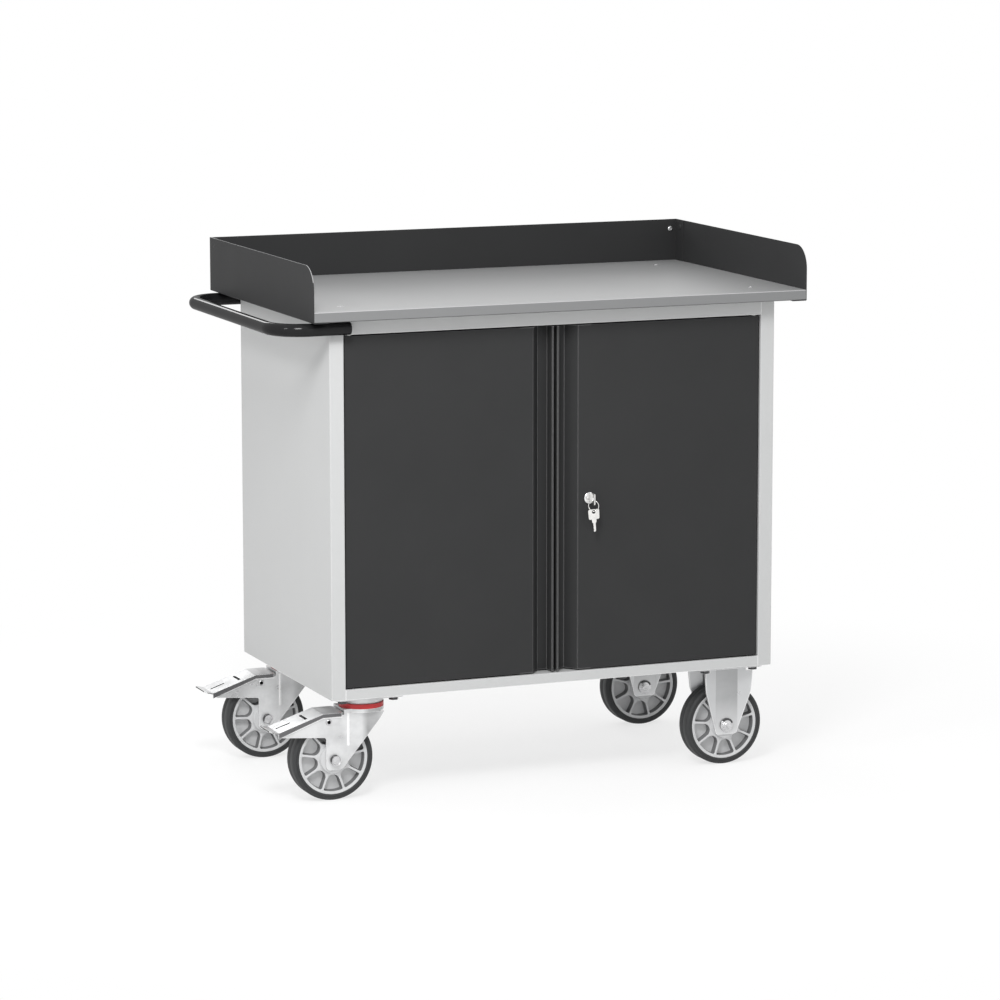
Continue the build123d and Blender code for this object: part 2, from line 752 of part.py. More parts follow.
with BuildPart() as door_key:
    with BuildSketch(side_section(lock_from_split - key_thickness / 2)):
        with Locations((bow_y, lock_z)):
            RectangleRounded(key_bow_length, key_bow_width, key_bow_round)
        with Locations(((bow_y + plug_front + key_blade_length) / 2, lock_z)):
            Rectangle(plug_front + key_blade_length - bow_y, key_blade)
        with Locations((hole_y, lock_z)):
            Circle(key_hole / 2, mode=Mode.SUBTRACT)
    extrude(amount=key_thickness)
save(door_key, "door_key")

# Ring through both keys, turned so that its wire crosses each key's hole at an angle
ring_radius = (ring_diameter - ring_wire) / 2
ring_top_z = lock_z - ring_hang
ring_centre = (cabinet_x + lock_from_split, hole_y, ring_top_z - ring_radius)
ring_tangent = (cos(radians(ring_turn)), -sin(radians(ring_turn)), 0)
ring_normal = (sin(radians(ring_turn)), cos(radians(ring_turn)), 0)

with BuildPart() as key_ring:
    with BuildSketch(Plane(ring_centre, x_dir=(0, 0, 1), z_dir=ring_tangent)):
        with Locations((ring_radius, 0)):
            Circle(ring_wire / 2)
    revolve(axis=Axis(ring_centre, ring_normal))
save(key_ring, "key_ring")

# Spare key hanging flat from the ring
with BuildPart() as spare_key:
    spare_hole_z = ring_top_z - 2 * ring_radius - ring_hang
    spare_bow_z = spare_hole_z - key_hole_offset
    spare_neck_end = spare_bow_z - key_bow_length / 2 - spare_neck
    with BuildSketch(front_section(hole_y + key_thickness / 2, lock_from_split)):
        with Locations((0, spare_bow_z)):
            RectangleRounded(key_bow_width, key_bow_length, key_bow_round)
        with Locations((0, (spare_bow_z + spare_neck_end) / 2)):
            Rectangle(spare_neck_width, spare_bow_z - spare_neck_end)
        with Locations((0, spare_neck_end - spare_blade_length / 2)):
            Rectangle(key_blade, spare_blade_length)
        with Locations((0, spare_hole_z)):
            Circle(key_hole / 2, mode=Mode.SUBTRACT)
    extrude(amount=key_thickness)
save(spare_key, "spare_key")


# Wheels: plastic rim with pockets between its spokes, and a rubber tyre
rim_radius = wheel_radius - tyre_thickness
rim_half = wheel_width / 2 - rim_inset
pocket_outer = rim_radius - rim_ring
spoke_angle = radians(180 / spoke_count)

with BuildSketch() as spoke_pocket:
    outer_rise = pocket_outer * cos(spoke_angle)
    wide_half = pocket_outer * sin(spoke_angle) - spoke_width / 2
    narrow_half = pocket_inner * tan(spoke_angle) - spoke_width / 2
    with BuildLine():
        Polyline((outer_rise, -wide_half), (pocket_inner, -narrow_half),
                 (pocket_inner, narrow_half), (outer_rise, wide_half))
        ThreePointArc((outer_rise, wide_half), (pocket_outer, 0), (outer_rise, -wide_half))
    make_face()
    fillet(spoke_pocket.vertices(), pocket_round)


def make_wheel(name, x, y):
    centre = Vector(cabinet_x + x, y, wheel_radius)
    axle = Axis(centre, (0, 1, 0))
    with BuildPart() as rim:
        with BuildSketch(Plane(centre)):
            with Locations((rim_radius / 2, 0)):
                Rectangle(rim_radius, 2 * rim_half)
            with Locations((hub_diameter / 4, 0)):
                Rectangle(hub_diameter / 2, cheek_gap - 2 * hub_gap)
        revolve(axis=axle)
        for side in (-1, 1):
            face_centre = centre + Vector(0, side * rim_half, 0)
            with BuildSketch(Plane(face_centre, x_dir=(0, 0, -1), z_dir=(0, side, 0))):
                with PolarLocations(0, spoke_count):
                    add(spoke_pocket.sketch)
            extrude(amount=web_thickness / 2 - rim_half, mode=Mode.SUBTRACT)
        with Locations(Location(centre, (90, 0, 0))):
            Cylinder(axle_diameter / 2 + running_gap, 2 * cheek_gap, mode=Mode.SUBTRACT)
    save(rim, f"{name}_rim")
    with BuildPart() as tyre:
        with BuildSketch(Plane(centre)) as tread:
            with Locations((wheel_radius - tyre_thickness / 2, 0)):
                Rectangle(tyre_thickness, wheel_width)
            fillet(tread.vertices().group_by(Axis.X)[-1], tyre_shoulder)
        revolve(axis=axle)
    save(tyre, f"{name}_tyre")


for name, x, y in (("front_left", -caster_x - caster_trail, -caster_y),
                   ("rear_left", -caster_x - caster_trail, caster_y),
                   ("front_right", caster_x, -caster_y), ("rear_right", caster_x, caster_y)):
    make_wheel(name, x, y)

# Bolts and nuts of the four caster plates
caster_places = [(sx * caster_x, sy * caster_y) for sx in (-1, 1) for sy in (-1, 1)]

with BuildPart() as caster_bolts:
    bolt_top = cabinet_bottom + caster_rail_sheet + nut_height + bolt_end
    with BuildSketch(plan(plate_under)):
        with Locations(*caster_places):
            with GridLocations(bolt_spacing_x, bolt_spacing_y, 2, 2):
                RegularPolygon(bolt_head / 2, 6, major_radius=False)
    extrude(amount=-bolt_head_height)
    with BuildSketch(plan(plate_under)):
        with Locations(*caster_places):
            with GridLocations(bolt_spacing_x, bolt_spacing_y, 2, 2):
                Circle(bolt_diameter / 2)
    extrude(amount=bolt_top - plate_under)
save(caster_bolts, "caster_bolts")

with BuildPart() as caster_nuts:
    with BuildSketch(plan(cabinet_bottom + caster_rail_sheet)):
        with Locations(*caster_places):
            with GridLocations(bolt_spacing_x, bolt_spacing_y, 2, 2):
                RegularPolygon(bolt_head / 2, 6, major_radius=False)
                Circle(bolt_diameter / 2 + running_gap, mode=Mode.SUBTRACT)
    extrude(amount=nut_height)
save(caster_nuts, "caster_nuts")


# Caster plate outline with its four bolt holes
def draw_plate():
    RectangleRounded(plate_length, plate_width, plate_corner)
    with GridLocations(bolt_spacing_x, bolt_spacing_y, 2, 2):
        Circle(bolt_hole / 2, mode=Mode.SUBTRACT)


# Axle across a pair of cheeks, with a hexagon or a round cap at each end
def draw_axle(x, y, capped):
    for way in (-1, 1):
        with BuildSketch(front_section(y + way * cheek_outer, x)) as head:
            with Locations((0, wheel_radius)):
                if capped:
                    Circle(axle_cap / 2)
                else:
                    RegularPolygon(axle_head / 2, 6, major_radius=False)
        extrude(head.sketch, amount=-way * axle_head_height)
    with BuildSketch(front_section(y + cheek_outer, x)) as shaft:
        with Locations((0, wheel_radius)):
            Circle(axle_diameter / 2)
    extrude(shaft.sketch, amount=2 * cheek_outer)


# Fixed casters: plate with two legs whose edges flare outwards
def make_fixed_bracket(name, x, y):
    foot = wheel_radius - bracket_drop
    waist = plate_under - bracket_waist_drop
    wing_top = plate_under - bolt_head_height - bracket_bolt_gap
    neck = bolt_spacing_x / 2 - bolt_head / sqrt(3) - bracket_bolt_gap
    with BuildPart() as bracket:
        with BuildSketch(Plane((cabinet_x + x, y, foot))):
            for way in (-1, 1):
                draw_sheet([(-bracket_top, way * (cheek_inner + bracket_flare)),
                            (-bracket_panel, way * cheek_inner), (bracket_panel, way * cheek_inner),
                            (bracket_top, way * (cheek_inner + bracket_flare))],
                           way * cheek_sheet, cheek_bend + cheek_sheet, cheek_bend)
        extrude(amount=plate_under - foot)
        with BuildSketch(front_section(y, x)) as leg:
            draw([(-bracket_foot, foot), (bracket_foot, foot), (bracket_waist, waist),
                  (bracket_top, wing_top), (neck, wing_top), (neck, plate_under),
                  (-neck, plate_under), (-neck, wing_top),
                  (-bracket_top, wing_top), (-bracket_waist, waist)])
            fillet(leg.vertices().group_by(Axis.Y)[0], bracket_round)
        extrude(amount=plate_width, both=True, mode=Mode.INTERSECT)
        with BuildSketch(Plane((cabinet_x + x, y, plate_under))):
            draw_plate()
        extrude(amount=plate_thickness)
        with Locations(along_y(x, y, wheel_radius)):
            Cylinder(axle_diameter / 2 + screw_clearance, 4 * cheek_gap, mode=Mode.SUBTRACT)
    save(bracket, name)


make_fixed_bracket("front_right_bracket", caster_x, -caster_y)
make_fixed_bracket("rear_right_bracket", caster_x, caster_y)

with BuildPart() as fixed_axles:
    draw_axle(caster_x, -caster_y, False)
    draw_axle(caster_x, caster_y, False)
save(fixed_axles, "fixed_axles")


# Swivel casters: plate with race, seal ring, fork, kingpin, axle, brake pedal and its rivets
def make_swivel_caster(name, y):
    head_x = -caster_x
    axle_x = head_x + wheel_back
    head = (cabinet_x + head_x, y)

    with BuildPart() as plate:
        with BuildSketch(Plane((*head, plate_under))):
            draw_plate()
        extrude(amount=plate_thickness)
        with Locations((*head, plate_under)):
            Cone(race_bottom / 2, race_top / 2, race_height, align=(Align.CENTER, Align.CENTER, Align.MAX))
        with Locations((*head, cabinet_bottom)):
            CounterBoreHole(kingpin_diameter / 2 + running_gap, kingpin_head / 2 + turning_gap,
                            kingpin_recess)
    save(plate, f"{name}_plate")

    with BuildPart() as seal:
        with BuildSketch(Plane((*head, crown_top))):
            Circle(seal_diameter / 2)
            Circle(seal_bore / 2, mode=Mode.SUBTRACT)
        extrude(amount=seal_height)
    save(seal, f"{name}_seal")

    with BuildPart() as kingpin:
        pin_low = crown_under - kingpin_nut_height - kingpin_end
        head_low = cabinet_bottom - kingpin_recess + turning_gap
        with BuildSketch(Plane((*head, pin_low))):
            Circle(kingpin_diameter / 2)
        extrude(amount=head_low - pin_low)
        with BuildSketch(Plane((*head, head_low))):
            Circle(kingpin_head / 2)
        extrude(amount=kingpin_recess - 2 * turning_gap)
        with BuildSketch(Plane((*head, crown_under))):
            RegularPolygon(kingpin_nut / 2, 6, major_radius=False)
        extrude(amount=-kingpin_nut_height)
    save(kingpin, f"{name}_kingpin")

    with BuildPart() as axle:
        draw_axle(axle_x, y, True)
    save(axle, f"{name}_axle")

    foot = wheel_radius - leg_drop
    pivot_z = crown_under - pedal_pivot_drop
    with BuildPart() as fork:
        with BuildSketch(Plane((cabinet_x + axle_x, y, foot))):
            for way in (-1, 1):
                draw_sheet([(-wing_reach, way * cheek_inner), (cheek_crease, way * cheek_inner),
                            (caster_trail + crown_right, way * (cheek_inner + cheek_flare))],
                           way * cheek_sheet, cheek_bend + cheek_sheet, cheek_bend)
        extrude(amount=crown_under - foot)
        with BuildSketch(front_section(y, axle_x)) as cheek:
            draw([(-leg_half, foot), (leg_half - leg_round, foot), (leg_half, foot + leg_round / 2),
                  (caster_trail + crown_right - slant_inset, crown_under - slant_drop),
                  (caster_trail + crown_right, crown_under),
                  (caster_trail - crown_left, crown_under),
                  (caster_trail - crown_left, crown_under - cheek_step),
                  (-cheek_bend_reach, crown_under - cheek_bend_drop),
                  (-wing_reach, crown_under - wing_drop + wing_tip), (-wing_reach, crown_under - wing_drop),
                  (-leg_half, crown_under - wing_step)])
            fillet(cheek.vertices().sort_by_distance((-leg_half, crown_under - wing_step))[0], wing_fillet)
            fillet(cheek.vertices().group_by(Axis.Y)[0].sort_by(Axis.X)[0], leg_round)
        extrude(amount=cheek_gap, both=True, mode=Mode.INTERSECT)
        with BuildSketch(Plane((*head, crown_under))):
            Circle(crown_diameter / 2)
            with Locations(((crown_right - crown_left) / 2, 0)):
                Rectangle(crown_left + crown_right, 2 * cheek_outer)
        extrude(amount=crown_thickness)
        with Locations((*head, crown_top)):
            Hole(kingpin_diameter / 2 + running_gap)
        with Locations(along_y(axle_x, y, wheel_radius)):
            Cylinder(axle_diameter / 2 + screw_clearance, 4 * cheek_gap, mode=Mode.SUBTRACT)
        with Locations(along_y(axle_x - pedal_pivot_reach, y, pivot_z)):
            Cylinder(pedal_rivet / 2 + screw_clearance, 4 * cheek_gap, mode=Mode.SUBTRACT)
    save(fork, f"{name}_fork")

    with BuildPart() as rivets:
        tab_outer = cheek_inner - tab_gap
        for way in (-1, 1):
            rivet_end = y + way * (tab_outer - pedal_sheet)
            with BuildSketch(front_section(rivet_end, axle_x - pedal_pivot_reach)):
                with Locations((0, pivot_z)):
                    Circle(pedal_rivet / 2)
            extrude(amount=-way * (cheek_outer - tab_outer + pedal_sheet))
            with BuildSketch(front_section(y + way * cheek_outer, axle_x - pedal_pivot_reach)):
                with Locations((0, pivot_z)):
                    Circle(pedal_rivet_head / 2)
            extrude(amount=-way * pedal_rivet_head_height)
            with BuildSketch(front_section(y + way * cheek_outer, axle_x - pedal_pivot_reach)):
                with Locations((0, pivot_z)):
                    Circle(pedal_rivet_hollow / 2)
            extrude(amount=-way * pedal_rivet_head_height, mode=Mode.SUBTRACT)
    save(rivets, f"{name}_pedal_rivets")

    with BuildPart() as pedal:
        pedal_right = caster_trail - max(crown_left, crown_diameter / 2) - pedal_crown_gap
        top_z = crown_under + pedal_above_crown
        tip_z = top_z - pedal_tip_drop
        slope = (top_z - tip_z) / (pedal_tip_reach - pedal_bend_reach)
        plate_rise = [top_z - slope * max(reach - pedal_bend_reach, 0) - pedal_sheet / 2
                      for reach in (shoe_start, shoe_end)]
        with BuildSketch(front_section(y + pedal_width / 2, axle_x)):
            draw_sheet([(pedal_right, top_z), (-pedal_bend_reach, top_z), (-pedal_tip_reach, tip_z),
                        (-pedal_lip_reach, tip_z + pedal_lip_turn)],
                       pedal_sheet, pedal_bend + pedal_sheet, pedal_bend)
        extrude(amount=pedal_width)
        for way in (-1, 1):
            with BuildSketch(front_section(y + way * pedal_width / 2, axle_x)):
                draw([(pedal_right, top_z - pedal_sheet / 2), (-pedal_bend_reach, top_z - pedal_sheet / 2),
                      (-pedal_tip_reach, tip_z - pedal_sheet / 2),
                      (-pedal_tip_reach, tip_z - pedal_tip_flange),
                      (-pedal_bend_reach, top_z - pedal_flange), (pedal_right, top_z - pedal_flange)])
            extrude(amount=way * pedal_sheet)
        with BuildSketch(Plane((cabinet_x + axle_x, y, 0))):
            with Locations(((pedal_right - pedal_lip_reach) / 2, 0)):
                RectangleRounded(pedal_right + pedal_lip_reach, pedal_width, pedal_corner)
        extrude(amount=cabinet_bottom, mode=Mode.INTERSECT)
        with BuildSketch(Plane((cabinet_x + axle_x, y, 0))):
            with Locations((-pedal_slot_reach, 0)):
                SlotOverall(pedal_slot_length, pedal_slot_width)
            with Locations((-pedal_window_reach, 0)):
                Rectangle(pedal_window_length, pedal_window_width)
        extrude(amount=cabinet_bottom, mode=Mode.SUBTRACT)
        for way in (-1, 1):
            with BuildSketch(front_section(y + way * tab_outer, axle_x - pedal_pivot_reach)):
                with Locations((0, pivot_z)):
                    Circle(tab_radius)
                with Locations((0, (pivot_z + top_z - pedal_sheet) / 2)):
                    Rectangle(2 * tab_radius, top_z - pedal_sheet - pivot_z)
                with Locations((0, pivot_z)):
                    Circle(pedal_rivet / 2 + running_gap, mode=Mode.SUBTRACT)
            extrude(amount=way * pedal_sheet)
        with BuildSketch(front_section(y + shoe_width / 2, axle_x)):
            draw([(-shoe_start, plate_rise[0]), (-shoe_end, plate_rise[1]), (-shoe_end, wheel_radius),
                  (-shoe_start, wheel_radius)])
            with Locations((0, wheel_radius)):
                Circle(wheel_radius + shoe_gap, mode=Mode.SUBTRACT)
        extrude(amount=shoe_width)
    save(pedal, f"{name}_pedal")


make_swivel_caster("front_left", -caster_y)
make_swivel_caster("rear_left", caster_y)
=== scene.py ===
import json
import math

import bmesh
import bpy
from mathutils import Matrix, Vector


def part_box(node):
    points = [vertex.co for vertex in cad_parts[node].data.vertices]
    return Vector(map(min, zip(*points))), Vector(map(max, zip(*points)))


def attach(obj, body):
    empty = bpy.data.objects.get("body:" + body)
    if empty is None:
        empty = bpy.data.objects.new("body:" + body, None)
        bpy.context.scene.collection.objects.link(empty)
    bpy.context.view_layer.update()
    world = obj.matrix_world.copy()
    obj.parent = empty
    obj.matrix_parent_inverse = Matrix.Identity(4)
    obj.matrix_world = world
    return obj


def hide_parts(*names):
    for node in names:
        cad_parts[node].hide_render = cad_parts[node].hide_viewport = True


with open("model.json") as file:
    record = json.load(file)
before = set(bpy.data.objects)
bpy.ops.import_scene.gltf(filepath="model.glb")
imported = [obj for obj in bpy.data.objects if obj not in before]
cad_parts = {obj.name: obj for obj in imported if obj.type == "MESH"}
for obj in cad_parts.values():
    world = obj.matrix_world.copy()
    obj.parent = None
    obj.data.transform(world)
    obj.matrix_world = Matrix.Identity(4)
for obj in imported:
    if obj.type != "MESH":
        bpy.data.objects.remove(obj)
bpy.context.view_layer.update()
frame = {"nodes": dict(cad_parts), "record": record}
nodes = frame["nodes"]
scene = bpy.context.scene
print("trolley: frame loaded,", len(nodes), "nodes")


class Wire:  # one shader socket, so that shader sums read as plain sums
    def __init__(self, bench, socket):
        self.bench = bench
        self.socket = socket

    def __add__(self, other):
        return self.bench.sum("ADD", self, other)

    def __radd__(self, other):
        return self.bench.sum("ADD", other, self)

    def __sub__(self, other):
        return self.bench.sum("SUBTRACT", self, other)

    def __rsub__(self, other):
        return self.bench.sum("SUBTRACT", other, self)

    def __mul__(self, other):
        return self.bench.sum("MULTIPLY", self, other)

    def __rmul__(self, other):
        return self.bench.sum("MULTIPLY", other, self)

    def __gt__(self, other):
        return self.bench.sum("GREATER_THAN", self, other)

    def __lt__(self, other):
        return self.bench.sum("LESS_THAN", self, other)

    def __abs__(self):
        return self.bench.sum("ABSOLUTE", self, 0.0)


class Bench:  # a node tree and the few ways nodes are added to it
    def __init__(self, owner):
        owner.use_nodes = True
        self.owner = owner
        self.tree = owner.node_tree
        self.tree.nodes.clear()

    def node(self, kind, settings=None, sockets=None, output=0):
        made = self.tree.nodes.new(kind)
        for name, value in (settings or {}).items():
            if name == "stops":  # a ramp's (place, grey) pairs
                while len(made.color_ramp.elements) < len(value):
                    made.color_ramp.elements.new(0.5)
                for stop, (place, grey) in zip(made.color_ramp.elements, value):
                    stop.position = place
                    stop.color = (grey, grey, grey, 1.0)
            else:
                setattr(made, name, value)
        for name, value in (sockets or {}).items():
            if isinstance(value, Wire):
                self.tree.links.new(value.socket, made.inputs[name])
            else:
                made.inputs[name].default_value = value
        return Wire(self, made.outputs[output]) if made.outputs else None

    def sum(self, operation, first, second):
        return self.node("ShaderNodeMath", {"operation": operation}, {0: first, 1: second})

    def axes(self, vector):  # a vector's three numbers
        first = self.node("ShaderNodeSeparateXYZ", sockets={0: vector})
        return [Wire(self, socket) for socket in first.socket.node.outputs]

    def blend(self, factor, first, second):  # two colours, as (r, g, b) or wires
        first, second = [c if isinstance(c, Wire) else (*c, 1.0) for c in (first, second)]
        sockets = {0: factor, 6: first, 7: second}  # its factor and its two colours
        return self.node("ShaderNodeMix", {"data_type": "RGBA"}, sockets, output=2)

    def noise(self, place, scale, detail=2.0, roughness=0.5):
        sockets = {"Vector": place, "Scale": scale, "Detail": detail, "Roughness": roughness}
        return self.node("ShaderNodeTexNoise", sockets=sockets, output="Fac")

    def ramp(self, factor, *stops):
        return self.node("ShaderNodeValToRGB", {"stops": stops}, {"Fac": factor})

    def stretch(self, place, scales):  # squeezes a pattern along the axes
        return self.node("ShaderNodeMapping", sockets={"Vector": place, "Scale": scales})

    def edges(self, radius, least=0.02, most=0.16):  # 1 along a shape's edges, 0 on its open faces
        rounded = self.node("ShaderNodeBevel", {"samples": 6}, {"Radius": radius})
        plain = self.node("ShaderNodeNewGeometry", output="Normal")
        same = self.node("ShaderNodeVectorMath", {"operation": "DOT_PRODUCT"},
                         {0: rounded, 1: plain}, "Value")
        return self.ramp(1 - same, (least, 0.0), (most, 1.0))

    def bump(self, height, distance):
        return self.node("ShaderNodeBump", sockets={"Height": height, "Distance": distance})

    def close(self, **sockets):  # the shader and the material's output
        names = {name.replace("_", " "): value for name, value in sockets.items()}
        shader = self.node("ShaderNodeBsdfPrincipled", sockets=names)
        self.node("ShaderNodeOutputMaterial", sockets={"Surface": shader})
        return self.owner


def startFinish(name):
    bench = Bench(bpy.data.materials.new(name))
    return bench, bench.node("ShaderNodeTexCoord", output="Object")


def facingOf(bench):  # the way a face looks, in the object's own axes
    return bench.axes(bench.node("ShaderNodeTexCoord", output="Normal"))


def shade(colour, factor):  # the same colour, darker or lighter
    return tuple(channel * factor for channel in colour)


def mottle(bench, pattern, colour, spread):  # a colour that wanders a little both ways
    return bench.blend(pattern, shade(colour, 1 - spread), shade(colour, 1 + spread))


def swing(pattern, size):  # a pattern from 0 to 1, made to vary about zero
    return (pattern - 0.5) * size


# In the looks, a noise is (scale, detail, roughness) and stops are a ramp's (place, grey) pairs

# Painted sheet: a baked powder coat with fine orange peel, and a painted highlight along the edges
cabinetPaint = {"colour": (0.497, 0.502, 0.502), "spread": 0.03, "rough": 0.46, "shine": 0.16,
                "peelDepth": 0.00003, "edge": (0.93, 0.93, 0.93), "edgeWidth": 0.0021}
doorPaint = {"colour": (0.0345, 0.0348, 0.0354), "spread": 0.08, "rough": 0.52, "shine": 0.07,
             "peelDepth": 0.00004, "edge": (0.075, 0.075, 0.077), "edgeWidth": 0.0022}
upstandPaint = dict(doorPaint, colour=(0.032, 0.0323, 0.033), edge=(0.042, 0.042, 0.043))
powder = {"cloud": (7.0, 4.0), "cloudRough": 0.12, "peel": (620.0, 2.0, 0.4), "peelRough": 0.08,
          "dust": (2100.0, 1.0), "dustStops": ((0.66, 0.0), (0.74, 1.0)),  # tiny specks in the coat
          "dustShare": 0.12, "dustTone": 0.8, "highlightShare": 0.8}
# A painted highlight on the arrises where the doors meet, and on the shallow folds there
foldHighlight = {"colour": (0.15, 0.15, 0.152), "reach": 0.075, "foldFrom": 0.002, "foldFull": 0.03}
leftRimHighlight = {"colour": (0.32, 0.32, 0.325), "above": 0.97, "tilt": 0.35}  # a painted highlight on the upward top rim, on the left half only


def paintFinish(name, look, litLeftRim=False, litFolds=False):
    bench, place = startFinish(name)
    cloud = bench.noise(place, *powder["cloud"])
    peel = bench.noise(place, *powder["peel"])
    dust = bench.ramp(bench.noise(place, *powder["dust"]), *powder["dustStops"])
    colour = mottle(bench, cloud, look["colour"], look["spread"])
    colour = bench.blend(dust * powder["dustShare"], colour,
                         shade(look["colour"], powder["dustTone"]))
    # a painted highlight along the edges
    arris = bench.edges(look["edgeWidth"])
    colour = bench.blend(arris * powder["highlightShare"], colour, look["edge"])
    # a painted highlight on the folds and arrises near where the doors meet
    if litFolds:
        meeting = (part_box("left_door")[1].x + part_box("right_door")[0].x) / 2
        nearMeeting = abs(bench.axes(place)[0] - meeting) < foldHighlight["reach"]
        folds = bench.edges(look["edgeWidth"], foldHighlight["foldFrom"], foldHighlight["foldFull"])
        colour = bench.blend(folds * nearMeeting, colour, foldHighlight["colour"])
    # a painted highlight on upward faces of the top rim, left half only
    if litLeftRim:
        across, _, height = bench.axes(place)
        upward = facingOf(bench)[2] > leftRimHighlight["tilt"]
        rim = upward * (height > leftRimHighlight["above"]) * (across < 0.0)
        colour = bench.blend(rim, colour, leftRimHighlight["colour"])
    rough = look["rough"] + swing(cloud, powder["cloudRough"]) + swing(peel, powder["peelRough"])
    return bench.close(Base_Color=colour, Roughness=rough, Specular_IOR_Level=look["shine"],
                       Normal=bench.bump(peel, look["peelDepth"]))


# Worktop: a board with a pale grey melamine face and a darker band on its front edge, with a
# painted shade line along the band's foot and a painted highlight along its top
boardLook = {"colour": (0.345, 0.348, 0.35), "spread": 0.06, "rough": 0.27, "shine": 0.50,
             "cloud": (4.0, 3.0), "cloudRough": 0.05,
             "speck": (900.0, 3.0, 0.7), "speckRough": 0.05, "speckDepth": 0.00001,
             "fleck": (420.0, 2.0, 0.6), "fleckStops": ((0.40, 1.0), (0.47, 0.0)),
             "fleckShare": 0.05, "fleckTone": 0.72,
             "front": -0.6, "band": (0.185, 0.188, 0.19),  # on faces that look forward
             "line": 0.0013, "shadeLine": (0.045, 0.045, 0.046), "arris": (0.42, 0.42, 0.425)}


def boardFinish(name, look):
    bench, place = startFinish(name)
    cloud = bench.noise(place, *look["cloud"])
    speck = bench.noise(place, *look["speck"])
    fleck = bench.ramp(bench.noise(place, *look["fleck"]), *look["fleckStops"])
    face = mottle(bench, speck, look["colour"], look["spread"])
    face = bench.blend(fleck * look["fleckShare"], face, shade(look["colour"], look["fleckTone"]))
    low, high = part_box("worktop")
    height = bench.axes(place)[2]
    # the band's lowest strip takes a painted shade line, its top strip a painted highlight
    band = bench.blend(height < low.z + look["line"], look["band"], look["shadeLine"])
    band = bench.blend(height > high.z - look["line"], band, look["arris"])
    colour = bench.blend(facingOf(bench)[1] < look["front"], face, band)
    rough = look["rough"] + swing(cloud, look["cloudRough"]) + speck * look["speckRough"]
    return bench.close(Base_Color=colour, Roughness=rough, Specular_IOR_Level=look["shine"],
                       Normal=bench.bump(speck, look["speckDepth"]))


# Push handle: smooth black coat over bent tube
handleLook = {"colour": (0.010, 0.010, 0.0105), "dark": 0.8, "light": 1.5, "rough": 0.40,
              "shine": 0.0, "coat": 0.30, "coatRough": 0.09,
              "smear": (26.0, 4.0, 0.6), "smearRough": 0.10,
              "peel": (480.0, 2.0, 0.4), "peelDepth": 0.00001}


def handleFinish(name, look):
    bench, place = startFinish(name)
    smear = bench.noise(place, *look["smear"])
    peel = bench.noise(place, *look["peel"])
    colour = bench.blend(smear, shade(look["colour"], look["dark"]),
                         shade(look["colour"], look["light"]))
    rough = look["rough"] + smear * look["smearRough"]
    return bench.close(Base_Color=colour, Roughness=rough, Specular_IOR_Level=look["shine"],
                       Coat_Weight=look["coat"], Coat_Roughness=look["coatRough"],
                       Normal=bench.bump(peel, look["peelDepth"]))


# Plated steel: zinc on the casters, brighter on screws, lock and keys
zincLook = {"colour": (0.66, 0.665, 0.67), "stain": 0.70, "metal": 0.50, "rough": 0.30,
            "spangle": 17.0, "depth": 0.00004, "edge": (0.92, 0.92, 0.92), "edgeWidth": 0.0012,
            "edgeFrom": 0.02, "edgeFull": 0.16}
pedalLook = dict(zincLook, edge=(0.96, 0.96, 0.96), edgeWidth=0.0020,
                 side=(0.13, 0.13, 0.134))  # its turned-down sides lie in their own shade
forkLook = dict(zincLook, colour=(0.73, 0.735, 0.74), edge=(0.97, 0.97, 0.97), edgeWidth=0.0022)
beadHighlightLook = dict(zincLook, colour=(0.95, 0.95, 0.95), stain=0.96, metal=0.20)  # the beads lighter all over, a painted highlight
bracketLook = dict(zincLook, colour=(0.43, 0.435, 0.44), stain=0.80, metal=0.55, spangle=12.0,
                   edge=(0.96, 0.96, 0.96), edgeWidth=0.0024, edgeFrom=0.004, edgeFull=0.05,
                   flare=1.28, foot=(0.66, 0.665, 0.67))  # a painted highlight lightens faces that turn sideways
screwLook = dict(zincLook, colour=(0.66, 0.66, 0.67), metal=0.75, rough=0.24, spangle=90.0,
                 depth=0.00002)
boltLook = dict(screwLook, colour=(0.075, 0.075, 0.078), metal=0.60, edge=(0.22, 0.22, 0.22))
chromeLook = dict(zincLook, colour=(0.92, 0.92, 0.92), stain=0.85, metal=1.0, rough=0.12,
                  spangle=140.0, depth=0.00001)
nickelLook = dict(chromeLook, colour=(0.93, 0.92, 0.90), rough=0.18)
plating = {"cloudDetail": 4.0, "cloudGrain": 0.55, "cloudRough": 0.20,
           "dullStops": ((0.32, 1.0), (0.60, 0.0)),  # patches where the plating is thinner
           "rolling": (30.0, 700.0, 700.0), "rollingShare": 0.18, "rollingTone": 0.78,  # mill lines
           "flareStops": ((0.10, 0.0), (0.22, 1.0), (0.80, 1.0), (0.90, 0.0)),
           "sideStops": ((0.80, 0.0), (0.95, 1.0)),
           "footFrom": 0.055, "footGrade": 9.0, "footStops": ((0.10, 0.9), (0.75, 0.0)),
           "highlightShare": 0.9}
forkMarks = {"neck": (0.30, 0.302, 0.305), "neckFrom": -0.376, "neckSpan": 0.056,  # a painted dark reflection on the neck
             "neckStops": ((0.28, 0.0), (0.50, 1.0), (0.80, 1.0), (1.0, 0.45)),
             "patchStops": ((0.30, 0.35), (0.62, 1.0)),
             "line": (0.95, 0.95, 0.95), "bend": (-0.43925, 0.1675),  # a painted highlight just under the pedal's edge
             "slope": 0.367, "end": -0.399, "over": 0.0002, "under": 0.0022}


def markFork(bench, place, cloud, colour, marks):
    across, _, height = bench.axes(place)
    # the neck darkened in patches, a painted reflection
    neck = bench.ramp((across - marks["neckFrom"]) * (1 / marks["neckSpan"]), *marks["neckStops"])
    patches = bench.ramp(cloud, *marks["patchStops"])
    colour = bench.blend(neck * patches, colour, marks["neck"])
    # a painted highlight along the fork, just under the pedal's edge
    left = bench.sum("MINIMUM", across - marks["bend"][0], 0.0)
    below = left * marks["slope"] + marks["bend"][1] - height
    line = (below > -marks["over"]) * (below < marks["under"]) * (across < marks["end"])
    return bench.blend(line, colour, marks["line"])


